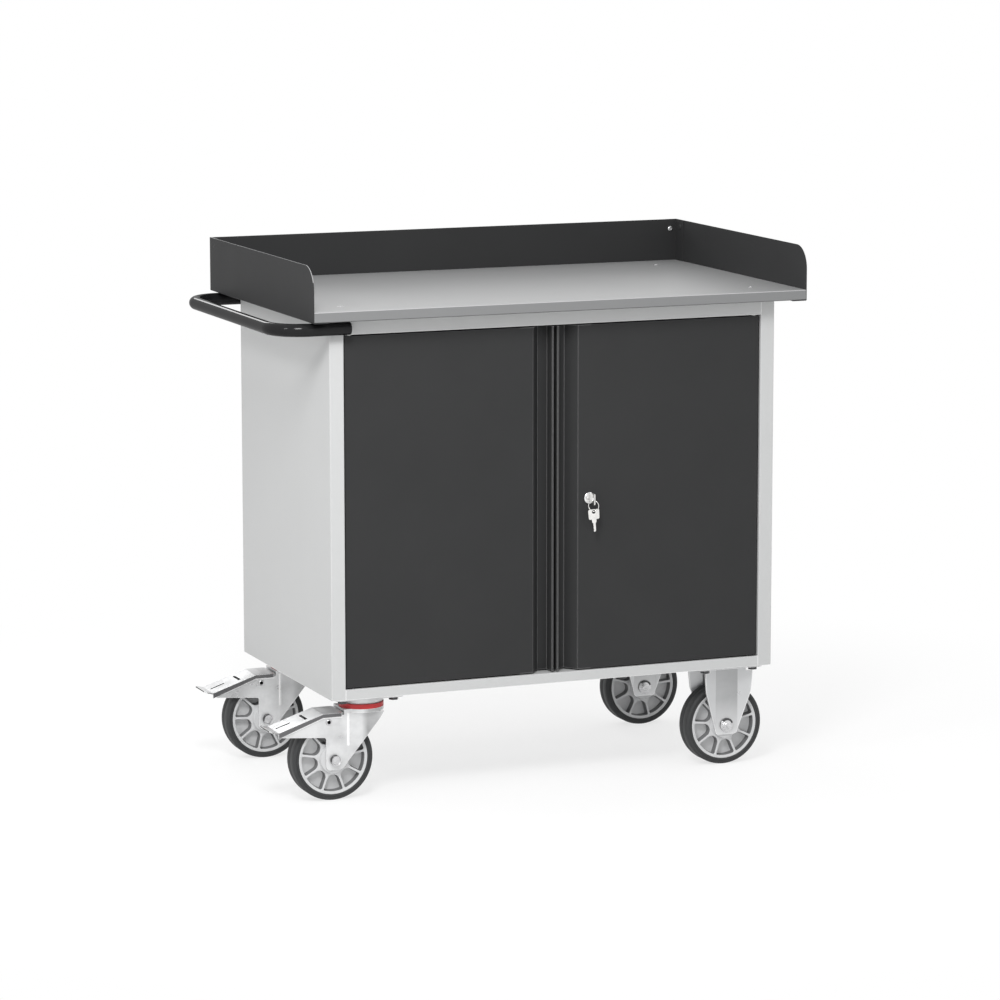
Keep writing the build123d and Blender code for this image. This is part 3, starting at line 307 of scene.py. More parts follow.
def platedFinish(name, look, marks=None):
    bench, place = startFinish(name)
    cloud = bench.noise(place, look["spangle"], plating["cloudDetail"], plating["cloudGrain"])
    rolling = bench.noise(bench.stretch(place, plating["rolling"]), 1.0)
    dull = bench.ramp(cloud, *plating["dullStops"])
    colour = bench.blend(dull, look["colour"], shade(look["colour"], look["stain"]))
    colour = bench.blend(rolling * plating["rollingShare"], colour,
                         shade(look["colour"], plating["rollingTone"]))
    # a painted highlight on faces that turn sideways
    if "flare" in look:
        turnedAway = bench.ramp(abs(facingOf(bench)[0]), *plating["flareStops"])
        colour = bench.blend(turnedAway, colour, shade(look["colour"], look["flare"]))
    if "side" in look:
        sides = bench.ramp(abs(facingOf(bench)[1]), *plating["sideStops"])
        colour = bench.blend(sides, colour, look["side"])
    if "foot" in look:
        above = bench.axes(place)[2] - plating["footFrom"]
        foot = bench.ramp(above * plating["footGrade"], *plating["footStops"])
        colour = bench.blend(foot, colour, look["foot"])
    if marks:
        colour = markFork(bench, place, cloud, colour, marks)
    # a painted highlight along the edges
    arris = bench.edges(look["edgeWidth"], look["edgeFrom"], look["edgeFull"])
    colour = bench.blend(arris * plating["highlightShare"], colour, look["edge"])
    rough = look["rough"] + swing(cloud, plating["cloudRough"])
    return bench.close(Base_Color=colour, Roughness=rough, Metallic=look["metal"],
                       Normal=bench.bump(cloud, look["depth"]))


# Moulded plastics and rubber
rimLook = {"colour": (0.58, 0.585, 0.59), "spread": 0.06, "rough": 0.42, "shine": 0.45,
           "grain": 800.0, "depth": 0.00004}
tyreLook = {"colour": (0.040, 0.041, 0.042), "spread": 0.18, "rough": 0.62, "shine": 0.30,
            "grain": 520.0, "depth": 0.00008}
sealLook = {"colour": (0.46, 0.020, 0.024), "spread": 0.10, "rough": 0.40, "shine": 0.45,
            "grain": 700.0, "depth": 0.00003}
bushLook = {"colour": (0.50, 0.50, 0.49), "spread": 0.04, "rough": 0.45, "shine": 0.45,
            "grain": 900.0, "depth": 0.00003}
capLook = {"colour": (0.010, 0.010, 0.011), "spread": 0.20, "rough": 0.42, "shine": 0.20,
           "grain": 900.0, "depth": 0.00005}
moulding = {"cloud": (30.0, 4.0, 0.6), "cloudRough": 0.10, "grainDetail": 3.0, "grainRough": 0.6,
            "scuff": (60.0, 400.0, 60.0), "scuffDetail": 3.0,
            "scuffStops": ((0.58, 0.0), (0.70, 1.0)), "scuffShare": 0.10, "scuffTone": 1.25,
            "scuffRough": 0.08}
rimTones = {"ridge": (0.56, 0.565, 0.57), "wall": (0.17, 0.172, 0.175),  # the ridges' tone, and painted shade on the pocket walls
            "axleLine": 0.201, "ridgeFrom": 0.0176, "steepStops": ((0.25, 1.0), (0.65, 0.0))}


def mouldedFinish(name, look, tones=None):
    bench, place = startFinish(name)
    cloud = bench.noise(place, *moulding["cloud"])
    grain = bench.noise(place, look["grain"], moulding["grainDetail"], moulding["grainRough"])
    drawn = bench.noise(bench.stretch(place, moulding["scuff"]), 1.0, moulding["scuffDetail"])
    scuff = bench.ramp(drawn, *moulding["scuffStops"])
    colour = mottle(bench, cloud, look["colour"], look["spread"])
    colour = bench.blend(scuff * moulding["scuffShare"], colour,
                         shade(look["colour"], moulding["scuffTone"]))
    if tones:
        outward = abs(abs(bench.axes(place)[1]) - tones["axleLine"])
        steep = bench.ramp(abs(facingOf(bench)[1]), *tones["steepStops"])
        colour = bench.blend(outward > tones["ridgeFrom"], colour, tones["ridge"])
        # painted shade on the steep pocket walls
        colour = bench.blend(steep * (outward < tones["ridgeFrom"]), colour, tones["wall"])
    rough = look["rough"] + swing(cloud, moulding["cloudRough"]) + scuff * moulding["scuffRough"]
    return bench.close(Base_Color=colour, Roughness=rough, Specular_IOR_Level=look["shine"],
                       Normal=bench.bump(grain, look["depth"]))


finishes = {
    "cabinet_grey": paintFinish("cabinetGrey", cabinetPaint),
    "door_anthracite": paintFinish("doorAnthracite", doorPaint, litFolds=True),
    "upstand_anthracite": paintFinish("upstandAnthracite", upstandPaint, litLeftRim=True),
    "board_grey": boardFinish("boardGrey", boardLook),
    "handle_black": handleFinish("handleBlack", handleLook),
    "cap_black": mouldedFinish("capBlack", capLook),
    "zinc": platedFinish("zinc", zincLook),
    "zinc_pedal": platedFinish("zincPedal", pedalLook),
    "zinc_fork": platedFinish("zincFork", forkLook, forkMarks),
    "zinc_bead_highlight": platedFinish("zincBeadHighlight", beadHighlightLook),
    "zinc_bracket": platedFinish("zincBracket", bracketLook),  # the fixed casters' duller plating
    "bolt_dull": platedFinish("boltDull", boltLook),
    "screw_steel": platedFinish("screwSteel", screwLook),
    "bush_white": mouldedFinish("bushWhite", bushLook),
    "seal_red": mouldedFinish("sealRed", sealLook),
    "rim_grey": mouldedFinish("rimGrey", rimLook, rimTones),
    "tyre_grey": mouldedFinish("tyreGrey", tyreLook),
    "lock_chrome": platedFinish("lockChrome", chromeLook),
    "key_nickel": platedFinish("keyNickel", nickelLook),
}

ownFinish = {"caster_bolts": "bolt_dull", "caster_nuts": "bolt_dull",
             "left_upstand": "upstand_anthracite", "rear_upstand": "upstand_anthracite",
             "right_upstand": "upstand_anthracite"}
for part in frame["record"]["subparts"]:
    mesh = nodes[part["node"]].data
    mesh.materials.clear()
    mesh.materials.append(finishes[ownFinish.get(part["node"], part["material_slot"])])
print("trolley:", len(finishes), "finishes on the solids")


# New pieces: each is built where it belongs, with its place in its mesh
mergeGap = 0.00001
flatAngle = math.radians(1)  # faces that meet at less than this are one flat face
extraFinish = 1  # a piece's second finish, on some of its faces


def midOf(node):
    low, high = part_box(node)
    return (low + high) / 2


def allOf(bm):
    return bm.verts[:] + bm.edges[:] + bm.faces[:]


def kindOf(made, kind):  # the vertices or the edges among an operator's results
    return [part for part in made if isinstance(part, kind)]


def edgesAt(verts):  # each edge once, in the same order on every run
    return list(dict.fromkeys(edge for vert in verts for edge in vert.link_edges))


def addPiece(name, bm, slot, body, *stands, extra=None, sharp=32.0):
    bmesh.ops.remove_doubles(bm, verts=bm.verts[:], dist=mergeGap)
    bmesh.ops.recalc_face_normals(bm, faces=bm.faces[:])
    mesh = bpy.data.meshes.new(name)
    bm.to_mesh(mesh)
    bm.free()
    mesh.shade_smooth()
    mesh.set_sharp_from_angle(angle=math.radians(sharp))
    for finish in (slot, extra):
        if finish:
            mesh.materials.append(finishes[finish])
    piece = bpy.data.objects.new(name, mesh)
    scene.collection.objects.link(piece)
    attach(piece, body)
    if stands:
        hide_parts(*stands)
    return piece


def turned(bm, outline, centre, axis=(0.0, 1.0, 0.0), steps=40):  # spins (radius, along) pairs
    axis = Vector(axis)
    side = axis.orthogonal().normalized()
    points = [bm.verts.new(centre + side * radius + axis * along) for radius, along in outline]
    edges = [bm.edges.new(pair) for pair in zip(points, points[1:])]
    bmesh.ops.spin(bm, geom=points + edges, cent=centre, axis=axis, angle=math.tau, steps=steps,
                   use_merge=True)


def growRing(bm, edges, radius, along):  # carries a round edge about the Y axis to its next ring
    made = bmesh.ops.extrude_edge_only(bm, edges=edges)["geom"]
    for vert in kindOf(made, bmesh.types.BMVert):
        spoke = Vector((vert.co.x, 0.0, vert.co.z)).normalized() * radius
        vert.co = (spoke.x, along, spoke.z)
    return kindOf(made, bmesh.types.BMEdge)


def mirrorAcross(bm):  # completes a wheel piece on the far side of its middle plane
    bmesh.ops.mirror(bm, geom=allOf(bm), matrix=Matrix(), merge_dist=mergeGap, axis="Y")


# Wheel rims: nine petal pockets between thin ridges, drafted walls, hub and ring lip
rimShape = {"pockets": 9, "arcSteps": 8, "ringSteps": 72, "half": 0.019, "hubReach": 0.0318,
            "ringReach": 0.0668, "ridge": 0.0030, "hubRound": 0.0088, "ringRound": 0.0036,
            "roundSteps": 6, "corner": 2.5, "edge": 0.0005, "edgeFall": 0.6, "draft": 0.0016,
            "depth": 0.0138, "floorRound": 0.0008, "bottomPocket": 270.0, "sharp": 40.0}
rimStart = {"lip": 0.0672, "hub": 0.0292}  # round edges of the front plane, before the rings
rimRings = {"lip": [(0.0676, -0.0192), (0.0680, -0.0196), (0.0700, -0.0196), (0.0705, -0.0191),
                    (0.0705, 0.0)],
            "hub": [(0.0286, -0.0196), (0.0280, -0.0255), (0.0270, -0.0265), (0.0170, -0.0265),
                    (0.0162, -0.0256), (0.0066, -0.0256), (0.0061, -0.0250), (0.0061, 0.0)]}
wheelTurn = {"front_left": 0.0, "rear_left": 6.5, "front_right": 3.5, "rear_right": -5.5}


def pocketFace(bm, shape, middle):  # one petal with rounded corners, in the rim's front plane
    share = math.tau / shape["pockets"]
    start = math.radians(middle) - share / 2
    ends = [bm.verts.new((reach * math.cos(start), -shape["half"], reach * math.sin(start)))
            for reach in (shape["hubReach"], shape["ringReach"])]
    edge = bm.edges.new(ends)
    bmesh.ops.spin(bm, geom=ends + [edge], cent=(0, 0, 0), axis=(0, -1, 0), angle=share,
                   steps=shape["arcSteps"])
    bmesh.ops.dissolve_faces(bm, faces=bm.faces[:])
    border = (shape["hubReach"] + shape["ringReach"]) / 2

    def near(vert):
        return math.hypot(vert.co.x, vert.co.z) < border

    between = [vert for vert in bm.verts
               if near(vert) and all(near(e.other_vert(vert)) for e in vert.link_edges)]
    bmesh.ops.dissolve_verts(bm, verts=between)
    petal = bm.faces[:][0]
    petal.normal_update()
    if petal.normal.y > 0:
        bmesh.ops.reverse_faces(bm, faces=[petal])
    rim = bmesh.ops.inset_individual(bm, faces=[petal], thickness=shape["ridge"] / 2,
                                     use_even_offset=True)["faces"]
    bmesh.ops.delete(bm, geom=rim, context="FACES")
    for inner, size in ((True, shape["hubRound"]), (False, shape["ringRound"])):
        petal = bm.faces[:][0]
        corners = [loop.vert for loop in petal.loops
                   if loop.calc_angle() < shape["corner"] and near(loop.vert) == inner]
        bmesh.ops.bevel(bm, geom=corners, offset=size, offset_type="OFFSET",
                        segments=shape["roundSteps"], profile=0.5, affect="VERTICES",
                        material=-1, clamp_overlap=True)
    return bm.faces[:][0]


def wheelRim(name, shape):
    bm = bmesh.new()
    petal = pocketFace(bm, shape, shape["bottomPocket"] + wheelTurn[name])
    fall = shape["edge"] * shape["edgeFall"]
    for wide, deep in ((shape["edge"], fall), (shape["draft"], shape["depth"]),
                       (shape["floorRound"], fall)):
        bmesh.ops.inset_individual(bm, faces=[petal], thickness=wide, depth=-deep,
                                   use_even_offset=True)
    copies = shape["pockets"] - 1
    bmesh.ops.spin(bm, geom=allOf(bm), cent=(0, 0, 0), axis=(0, 1, 0), use_duplicate=True,
                   angle=math.tau * copies / shape["pockets"], steps=copies)
    front = Matrix.Translation((0, -shape["half"], 0)) @ Matrix.Rotation(math.pi / 2, 4, "X")
    rings = {}
    for ring, reach in rimStart.items():
        made = bmesh.ops.create_circle(bm, segments=shape["ringSteps"], radius=reach, matrix=front)
        rings[ring] = edgesAt(made["verts"])
    rims = [edge for edge in bm.edges if len(edge.link_faces) < 2]
    bmesh.ops.triangle_fill(bm, edges=rims, use_beauty=True, normal=(0, -1, 0))
    for ring, steps in rimRings.items():
        for radius, along in steps:
            rings[ring] = growRing(bm, rings[ring], radius, along)
    mirrorAcross(bm)
    bmesh.ops.translate(bm, verts=bm.verts[:], vec=midOf(name + "_rim"))
    addPiece(name + "_spoked_rim", bm, "rim_grey", name + "_wheel", name + "_rim",
             sharp=shape["sharp"])


# Tyres: soft shoulders, a side band parted by a fine groove, and a faint mould line on the tread
tyreShape = {"seat": 0.0703, "seatRound": 0.0006, "half": 0.0200, "band": 0.0043, "groove": 0.0008,
             "grooveAt": (0.0003, 0.0010, 0.0013), "shoulder": 0.0056, "shoulderSteps": 5,
             "tread": 0.0825, "line": 0.0003, "lineAt": (0.0011, 0.0007), "steps": 96,
             "sharp": 50.0}


def wheelTyre(name, shape):
    seat, half, tread, shoulder = [shape[size] for size in ("seat", "half", "tread", "shoulder")]
    band, soft = seat + shape["band"], shape["seatRound"]
    downTo, upFrom, upTo = [band + reach for reach in shape["grooveAt"]]
    side = [(seat, 0.0), (seat, half - soft), (seat + soft, half), (band, half),
            (downTo, half - shape["groove"]), (upFrom, half - shape["groove"]), (upTo, half)]
    for step in range(shape["shoulderSteps"] + 1):
        angle = math.radians(90 * step / shape["shoulderSteps"])
        side.append((tread - shoulder + shoulder * math.sin(angle),
                     half - shoulder + shoulder * math.cos(angle)))
    lineEdge, lineFoot = shape["lineAt"]
    side += [(tread, lineEdge), (tread - shape["line"], lineFoot), (tread - shape["line"], 0.0)]
    bm = bmesh.new()
    turned(bm, side, Vector(), steps=shape["steps"])
    mirrorAcross(bm)
    bmesh.ops.translate(bm, verts=bm.verts[:], vec=midOf(name + "_tyre"))
    addPiece(name + "_grooved_tyre", bm, "tyre_grey", name + "_wheel", name + "_tyre",
             sharp=shape["sharp"])


for name in wheelTurn:
    wheelRim(name, rimShape)
    wheelTyre(name, tyreShape)
print("trolley: rims and tyres")


# Axle ends: flat dished caps on the swivel casters, nuts with a bolt end on the fixed ones
capRings = [(0.0058, 0.0), (0.0058, 0.0306), (0.0096, 0.0306), (0.0105, 0.0312), (0.0105, 0.0379),
            (0.0102, 0.0385), (0.0096, 0.0386), (0.0091, 0.0381), (0.0080, 0.0366),
            (0.0068, 0.0362), (0.0030, 0.0364), (0.0, 0.0366)]
boltRings = [(0.0058, 0.0), (0.0058, 0.0372), (0.0050, 0.0379), (0.0, 0.0379)]
flangeRings = [(0.0060, 0.0306), (0.0134, 0.0306), (0.0140, 0.0311), (0.0140, 0.0338),
               (0.0136, 0.0343), (0.0100, 0.0350), (0.0060, 0.0350), (0.0060, 0.0306)]
nutShape = {"sides": 6, "radius": 0.0098, "from": 0.0348, "height": 0.0022, "bevel": 0.0006,
            "turn": 12.0}
# where the caps and nuts take a painted shade
capShade = {"side": 0.0100, "upright": 0.3, "rim": 0.0088, "way": (-1, 0, 1), "span": 0.85}
nutShade = {"side": 0.0130, "upright": 0.3, "rim": 0.0110, "way": (0.2, 0, 1), "span": 0.55}


def paintedShadeSides(bm, centre, dull):  # painted shade on a rolled side, and on the part of the rim that way points to
    way = Vector(dull["way"])
    for face in bm.faces:
        away = face.calc_center_median() - centre
        out = math.hypot(away.x, away.z)
        face.normal_update()
        rolledSide = out > dull["side"] and abs(face.normal.y) < dull["upright"]
        shadedRim = out > dull["rim"] and away.dot(way) > dull["span"] * out
        if rolledSide or shadedRim:
            face.material_index = extraFinish


def cappedAxle(name):
    bm = bmesh.new()
    centre = midOf(name + "_axle")
    for side in (-1, 1):
        turned(bm, capRings, centre, (0, side, 0))
    paintedShadeSides(bm, centre, capShade)
    addPiece(name + "_capped_axle", bm, "screw_steel", name + "_swivel", name + "_axle",
             extra="bolt_dull")


def addNut(bm, centre, side, shape):  # six flats with a bevelled crest
    foot = Matrix.Translation(centre + Vector((0, side * shape["from"], 0)))
    facing = Matrix.Rotation(-side * math.pi / 2, 4, "X")
    twist = Matrix.Rotation(math.radians(shape["turn"]), 4, "Z")
    made = bmesh.ops.create_circle(bm, cap_ends=True, segments=shape["sides"],
                                   radius=shape["radius"], matrix=foot @ facing @ twist)["verts"]
    top = bmesh.ops.extrude_face_region(bm, geom=[made[0].link_faces[0]])["geom"]
    rise = kindOf(top, bmesh.types.BMVert)
    bmesh.ops.translate(bm, verts=rise, vec=(0, side * shape["height"], 0))
    crest = [edge for edge in edgesAt(rise) if all(vert in rise for vert in edge.verts)]
    bmesh.ops.bevel(bm, geom=crest, offset=shape["bevel"], segments=2, profile=0.5,
                    affect="EDGES", material=-1)


def boltedAxles(shape):
    bm = bmesh.new()
    middle = midOf("fixed_axles")
    reach = abs(midOf("front_right_tyre").y)
    for line in (-1, 1):
        for side in (-1, 1):
            centre = Vector((middle.x, line * reach, middle.z))
            turned(bm, boltRings, centre, (0, side, 0))
            turned(bm, flangeRings, centre, (0, side, 0))
            addNut(bm, centre, side, shape)
    paintedShadeSides(bm, middle, nutShade)
    addPiece("bolted_axles", bm, "screw_steel", "cabinet", "fixed_axles", extra="bolt_dull")


# Pedal rivets: rolled heads round a deep hollow, painted black inside as shade
rivetRings = [(0.0, 0.0245), (0.0040, 0.0245), (0.0040, 0.0306), (0.0060, 0.0311), (0.0060, 0.0326),
              (0.0055, 0.0335), (0.0046, 0.0340), (0.0038, 0.0337), (0.0034, 0.0328),
              (0.0033, 0.0262), (0.0, 0.0262)]
rivetShape = {"steps": 32, "hollow": 0.00335, "hollowFrom": 0.0255}


def rolledRivets(name, shape):
    bm = bmesh.new()
    centre = midOf(name + "_pedal_rivets")
    for side in (-1, 1):
        turned(bm, rivetRings, centre, (0, side, 0), shape["steps"])
    # faces inside the hollow take black, a painted shade
    for face in bm.faces:
        away = face.calc_center_median() - centre
        if math.hypot(away.x, away.z) < shape["hollow"] and abs(away.y) > shape["hollowFrom"]:
            face.material_index = extraFinish
    addPiece(name + "_rolled_rivets", bm, "screw_steel", name + "_swivel", name + "_pedal_rivets",
             extra="cap_black")


for name in ("front_left", "rear_left"):
    cappedAxle(name)
    rolledRivets(name, rivetShape)
boltedAxles(nutShape)
print("trolley: axle ends and rivets")


# Screws: domed heads with a driven recess on the raised edge, flush heads in the board
domeRings = [(0.0, -0.0030), (0.0026, -0.0030), (0.0026, 0.0), (0.0055, 0.0), (0.0055, 0.0006),
             (0.0051, 0.0015), (0.0042, 0.0023), (0.0030, 0.0028), (0.0022, 0.0029),
             (0.0019, 0.0012), (0.0, 0.0010)]
flushRings = [(0.0, -0.0300), (0.0022, -0.0300), (0.0022, -0.0040), (0.0049, -0.0006),
              (0.0049, 0.0003), (0.0045, 0.0006), (0.0026, 0.0007), (0.0022, -0.0012),
              (0.0, -0.0014)]
edgeScrews = {"rearIn": 0.0155, "rearDown": 0.0200, "sideIn": 0.0280, "sideDown": 0.0150,
              "sheet": 0.0015, "steps": 28}
boardScrews = {"half": 0.005, "steps": 28}


def domedScrews(spots):
    bm = bmesh.new()
    low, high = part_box("left_upstand")[0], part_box("right_upstand")[1]
    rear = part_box("rear_upstand")[1].y - spots["sheet"]
    for end, way in ((low.x, 1), (high.x, -1)):
        onRear = Vector((end + way * spots["rearIn"], rear, high.z - spots["rearDown"]))
        onSide = Vector((end + way * spots["sheet"] * 2, high.y - spots["sideIn"],
                         high.z - spots["sideDown"]))
        turned(bm, domeRings, onRear, (0, -1, 0), spots["steps"])
        plain = set(bm.faces)
        turned(bm, domeRings, onSide, (way, 0, 0), spots["steps"])
        for face in set(bm.faces) - plain:  # the two at the ends are painted over
            face.material_index = extraFinish
    addPiece("domed_screws", bm, "screw_steel", "cabinet", "upstand_screws",
             extra="upstand_anthracite")


def flushScrews(spots):
    bm = bmesh.new()
    low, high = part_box("worktop_screws")
    for x in (low.x + spots["half"], high.x - spots["half"]):
        for y in (low.y + spots["half"], high.y - spots["half"]):
            turned(bm, flushRings, Vector((x, y, high.z)), (0, 0, 1), spots["steps"])
    addPiece("flush_screws", bm, "screw_steel", "cabinet", "worktop_screws")


domedScrews(edgeScrews)
flushScrews(boardScrews)
print("trolley: screws")


# Door bushes: slim flanged sleeves round the pivot studs
bushShape = {"lower": [(0.0042, -0.0072), (0.0042, 0.0), (0.0058, 0.0), (0.0062, -0.0004),
                       (0.0062, -0.0026), (0.0060, -0.0027), (0.0060, -0.0072), (0.0042, -0.0072)],
             "upper": [(0.0042, 0.0), (0.0058, 0.0), (0.0062, 0.0004), (0.0062, 0.0014),
                       (0.0060, 0.0015), (0.0060, 0.0060), (0.0042, 0.0060), (0.0042, 0.0)],
             "lowerTop": 0.2282, "upperHeight": 0.0060, "half": 0.008, "margin": 0.001, "steps": 32}


def slimBushes(shape):
    bm = bmesh.new()
    low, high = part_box("door_bushes")
    middle = (low.y + high.y) / 2
    for x in (low.x + shape["half"], high.x - shape["half"]):
        lower = Vector((x, middle, shape["lowerTop"]))
        upper = Vector((x, middle, high.z - shape["upperHeight"]))
        turned(bm, shape["lower"], lower, (0, 0, 1), shape["steps"])
        turned(bm, shape["upper"], upper, (0, 0, 1), shape["steps"])
    for face in bm.faces:  # the lower pair is dark
        if face.calc_center_median().z < shape["lowerTop"] + shape["margin"]:
            face.material_index = extraFinish
    addPiece("slim_bushes", bm, "bush_white", "cabinet", "door_bushes", extra="cap_black")


slimBushes(bushShape)
print("trolley: door bushes")


# Spare key: clipped bow with a round hole, shoulder and a narrow cut blade, hanging a little askew
keyShape = {"thick": 0.0022, "lean": 4.0, "bevel": 0.0004, "arris": 1.2, "hole": 0.0036,
            "holeDown": 0.0052, "holeSteps": 20}
keyEdge = [(-0.0098, 0.0), (-0.0118, -0.0022), (-0.0112, -0.0178), (-0.0096, -0.0200),
           (-0.0050, -0.0200), (-0.0046, -0.0258), (-0.0026, -0.0276), (-0.0024, -0.0330),
           (-0.0014, -0.0342), (-0.0024, -0.0354), (-0.0024, -0.0380), (-0.0012, -0.0394),
           (-0.0022, -0.0410), (-0.0020, -0.0440), (0.0, -0.0452), (0.0026, -0.0430),
           (0.0028, -0.0276), (0.0046, -0.0258), (0.0050, -0.0200), (0.0098, -0.0200),
           (0.0114, -0.0180), (0.0118, -0.0022), (0.0098, 0.0)]


def spareKey(shape):
    bm = bmesh.new()
    low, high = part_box("spare_key")
    corners = [bm.verts.new((x, 0.0, z)) for x, z in keyEdge]
    rims = [bm.edges.new(pair) for pair in zip(corners, corners[1:] + corners[:1])]
    hole = Matrix.Translation((0, 0, -shape["holeDown"])) @ Matrix.Rotation(math.pi / 2, 4, "X")
    ring = bmesh.ops.create_circle(bm, segments=shape["holeSteps"], radius=shape["hole"],
                                   matrix=hole)["verts"]
    rims += edgesAt(ring)
    bmesh.ops.triangle_fill(bm, edges=rims, use_beauty=True, normal=(0, -1, 0))
    bmesh.ops.dissolve_limit(bm, angle_limit=flatAngle, verts=bm.verts[:], edges=bm.edges[:])
    bmesh.ops.solidify(bm, geom=bm.faces[:], thickness=shape["thick"])
    sharp = [edge for edge in bm.edges
             if len(edge.link_faces) == 2 and edge.calc_face_angle() > shape["arris"]]
    bmesh.ops.bevel(bm, geom=sharp, offset=shape["bevel"], segments=2, profile=0.5,
                    affect="EDGES", material=-1)
    middle = sum(vert.co.y for vert in bm.verts) / len(bm.verts)
    bmesh.ops.translate(bm, verts=bm.verts[:], vec=(0, -middle, shape["holeDown"]))
    lean = Matrix.Rotation(math.radians(-shape["lean"]), 3, "Y")
    bmesh.ops.rotate(bm, verts=bm.verts[:], cent=(0, 0, 0), matrix=lean)
    hang = Vector(((low.x + high.x) / 2, (low.y + high.y) / 2, high.z - shape["holeDown"]))
    bmesh.ops.translate(bm, verts=bm.verts[:], vec=hang)
    addPiece("cut_spare_key", bm, "key_nickel", "ring", "spare_key")


spareKey(keyShape)
print("trolley: spare key")


# Pressed caster parts: the solids' own shapes with rolled edges
rolledEdge = {"fork": 0.0010, "pedal": 0.0008, "bracket": 0.0012, "plate": 0.0008, "bend": 35.0,
              "weld": 0.000005, "gather": 0.0005, "sliver": 0.00002, "sharp": 50.0}
pedalCuts = {"half": 0.0165, "steep": 0.35}  # slot walls and the lip's cut end, in painted shade
forkBead = {"radius": 0.0019, "from": 0.1085, "to": 0.1745, "crease": 0.0270, "face": 0.0306,
            "turns": (0.0, 0.5, 1.0, math.pi / 2), "steps": 20}  # upright stiffening bead


def addBeads(bm, name, shape):  # one on the outer face of each cheek
    middle = midOf(name + "_axle")
    length, radius = shape["to"] - shape["from"], shape["radius"]
    rings = [(radius * math.sin(turn), radius - radius * math.cos(turn)) for turn in shape["turns"]]
    rings += [(reach, length - along) for reach, along in reversed(rings)]
    pressed = set(bm.faces)
    for side in (-1, 1):
        foot = Vector((middle.x + shape["crease"], middle.y + side * shape["face"], shape["from"]))
        turned(bm, rings, foot, (0, 0, 1), shape["steps"])
    # the beads take the painted highlight finish
    for face in set(bm.faces) - pressed:
        face.material_index = extraFinish


def shadedCuts(bm, name, cuts):
    middle = midOf(name + "_pedal")
    for face in bm.faces:
        face.normal_update()
        across = abs(face.calc_center_median().y - middle.y)
        # steep faces near the pedal's middle take black, a painted shade
        if across < cuts["half"] and abs(face.normal.z) < cuts["steep"]:
            face.material_index = extraFinish


def rolled(node, kind, body, finish, extra=None):
    bm = bmesh.new()
    bm.from_mesh(nodes[node].data)
    bmesh.ops.remove_doubles(bm, verts=bm.verts[:], dist=rolledEdge["weld"])
    bmesh.ops.dissolve_limit(bm, angle_limit=flatAngle, verts=bm.verts[:], edges=bm.edges[:])
    bmesh.ops.remove_doubles(bm, verts=bm.verts[:], dist=rolledEdge["gather"])  # for an even bevel
    least = math.radians(rolledEdge["bend"])
    bent = [edge for edge in bm.edges if edge.is_manifold and edge.calc_face_angle() > least]
    bmesh.ops.bevel(bm, geom=bent, offset=rolledEdge[kind], offset_type="OFFSET", segments=2,
                    profile=0.5, affect="EDGES", material=-1, clamp_overlap=True)
    bmesh.ops.dissolve_degenerate(bm, dist=rolledEdge["sliver"], edges=bm.edges[:])
    if kind == "fork":
        addBeads(bm, node.removesuffix("_fork"), forkBead)
    if kind == "pedal":
        shadedCuts(bm, node.removesuffix("_pedal"), pedalCuts)
    piece = addPiece(node + "_rolled", bm, "zinc", body, node, extra=extra,
                     sharp=rolledEdge["sharp"])
    piece.data.materials[0] = finishes[finish]
    piece.modifiers.new("flatFaces", "WEIGHTED_NORMAL").keep_sharp = True


for name in ("front_left", "rear_left"):
    rolled(name + "_fork", "fork", name + "_swivel", "zinc_fork", "zinc_bead_highlight")
    rolled(name + "_pedal", "pedal", name + "_brake", "zinc_pedal", "cap_black")
    rolled(name + "_plate", "plate", "cabinet", "zinc")
for name in ("front_right", "rear_right"):
    rolled(name + "_bracket", "bracket", "cabinet", "zinc_bracket")
print("trolley: pressed caster parts")

# Floor, light and camera: a soft main lamp, a small one for bright points on the tube, one behind
studio = {"ambient": 0.85, "floor": (0.93, 0.93, 0.93, 1.0), "white": (1.0, 1.0, 1.0, 1.0),
          "floorSize": 60.0, "floorGlow": 1.0, "glowShare": 0.70, "fadeFrom": 0.9, "fadeTo": 1.8,
          "aim": (0.0, 0.0, 0.55)}
lamps = {"keyLamp": {"power": 46.0, "place": (-1.2, -2.0, 2.4), "size": 0.8},
         "sparkLamp": {"power": 8.0, "place": (-2.3, -1.2, 2.2), "size": 0.35},
         "rimLamp": {"power": 12.0, "place": (-0.15, 2.8, 2.1), "size": 0.8}}
viewpoint = {"place": (-3.07335, -7.61316, 1.87494), "turn": (80.7046, 0.026, -22.1452),
             "lens": 149.348, "sensor": 36.0, "farthest": 200.0}


def seenRays(bench):  # 1 for rays that show the background itself or its reflection
    straight, mirrored, through = [
        bench.node("ShaderNodeLightPath", output=name)
        for name in ("Is Camera Ray", "Is Glossy Ray", "Is Transmission Ray")]
    return (straight + mirrored + through) > 0.5


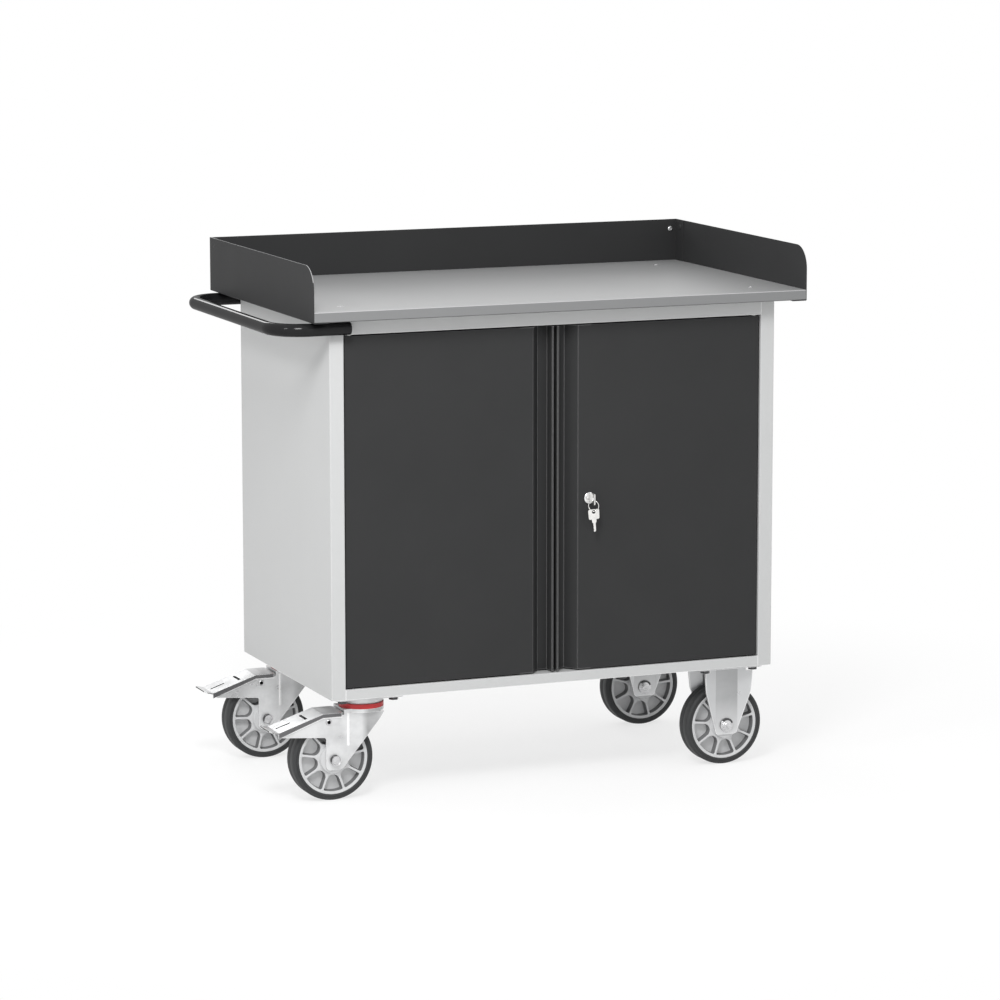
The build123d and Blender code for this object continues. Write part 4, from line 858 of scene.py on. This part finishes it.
def makeFloor():
    bm = bmesh.new()
    bmesh.ops.create_grid(bm, x_segments=1, y_segments=1, size=studio["floorSize"])
    mesh = bpy.data.meshes.new("floor")
    bm.to_mesh(mesh)
    bm.free()
    floor = bpy.data.objects.new("floor", mesh)
    scene.collection.objects.link(floor)
    bench, place = startFinish("floorWhite")
    matt = bench.node("ShaderNodeBsdfDiffuse", sockets={"Color": studio["floor"]})
    glow = bench.node("ShaderNodeEmission", sockets={"Color": studio["white"],
                                                     "Strength": studio["floorGlow"]})
    away = bench.node("ShaderNodeVectorMath", {"operation": "LENGTH"}, {0: place}, "Value")
    far = bench.node("ShaderNodeMapRange", {"interpolation_type": "SMOOTHSTEP"},
                     {"Value": away, "From Min": studio["fadeFrom"], "From Max": studio["fadeTo"],
                      "To Min": studio["glowShare"], "To Max": 1.0})
    share = seenRays(bench) * far
    surface = bench.node("ShaderNodeMixShader", sockets={0: share, 1: matt, 2: glow})
    bench.node("ShaderNodeOutputMaterial", sockets={"Surface": surface})
    mesh.materials.append(bench.owner)


def makeWorld():
    world = bpy.data.worlds.new("studio")
    scene.world = world
    bench = Bench(world)
    strength = studio["ambient"] + seenRays(bench) * (1.0 - studio["ambient"])
    sky = bench.node("ShaderNodeBackground", sockets={"Color": studio["white"],
                                                      "Strength": strength})
    bench.node("ShaderNodeOutputWorld", sockets={"Surface": sky})


def makeLamp(name, lamp):
    light = bpy.data.lights.new(name, "AREA")
    light.energy = lamp["power"]
    light.shape = "DISK"
    light.size = lamp["size"]
    holder = bpy.data.objects.new(name, light)
    holder.location = lamp["place"]
    towards = Vector(studio["aim"]) - Vector(lamp["place"])
    holder.rotation_euler = towards.to_track_quat("-Z", "Y").to_euler()
    scene.collection.objects.link(holder)


def makeCamera():
    camera = bpy.data.cameras.new("camera")
    camera.lens = viewpoint["lens"]
    camera.sensor_width = viewpoint["sensor"]
    camera.clip_end = viewpoint["farthest"]
    holder = bpy.data.objects.new("camera", camera)
    holder.location = viewpoint["place"]
    holder.rotation_euler = [math.radians(angle) for angle in viewpoint["turn"]]
    scene.collection.objects.link(holder)
    scene.camera = holder


makeFloor()
makeWorld()
for name, lamp in lamps.items():
    makeLamp(name, lamp)
makeCamera()
scene.view_settings.view_transform = "Standard"
print("trolley: floor, light and camera set")
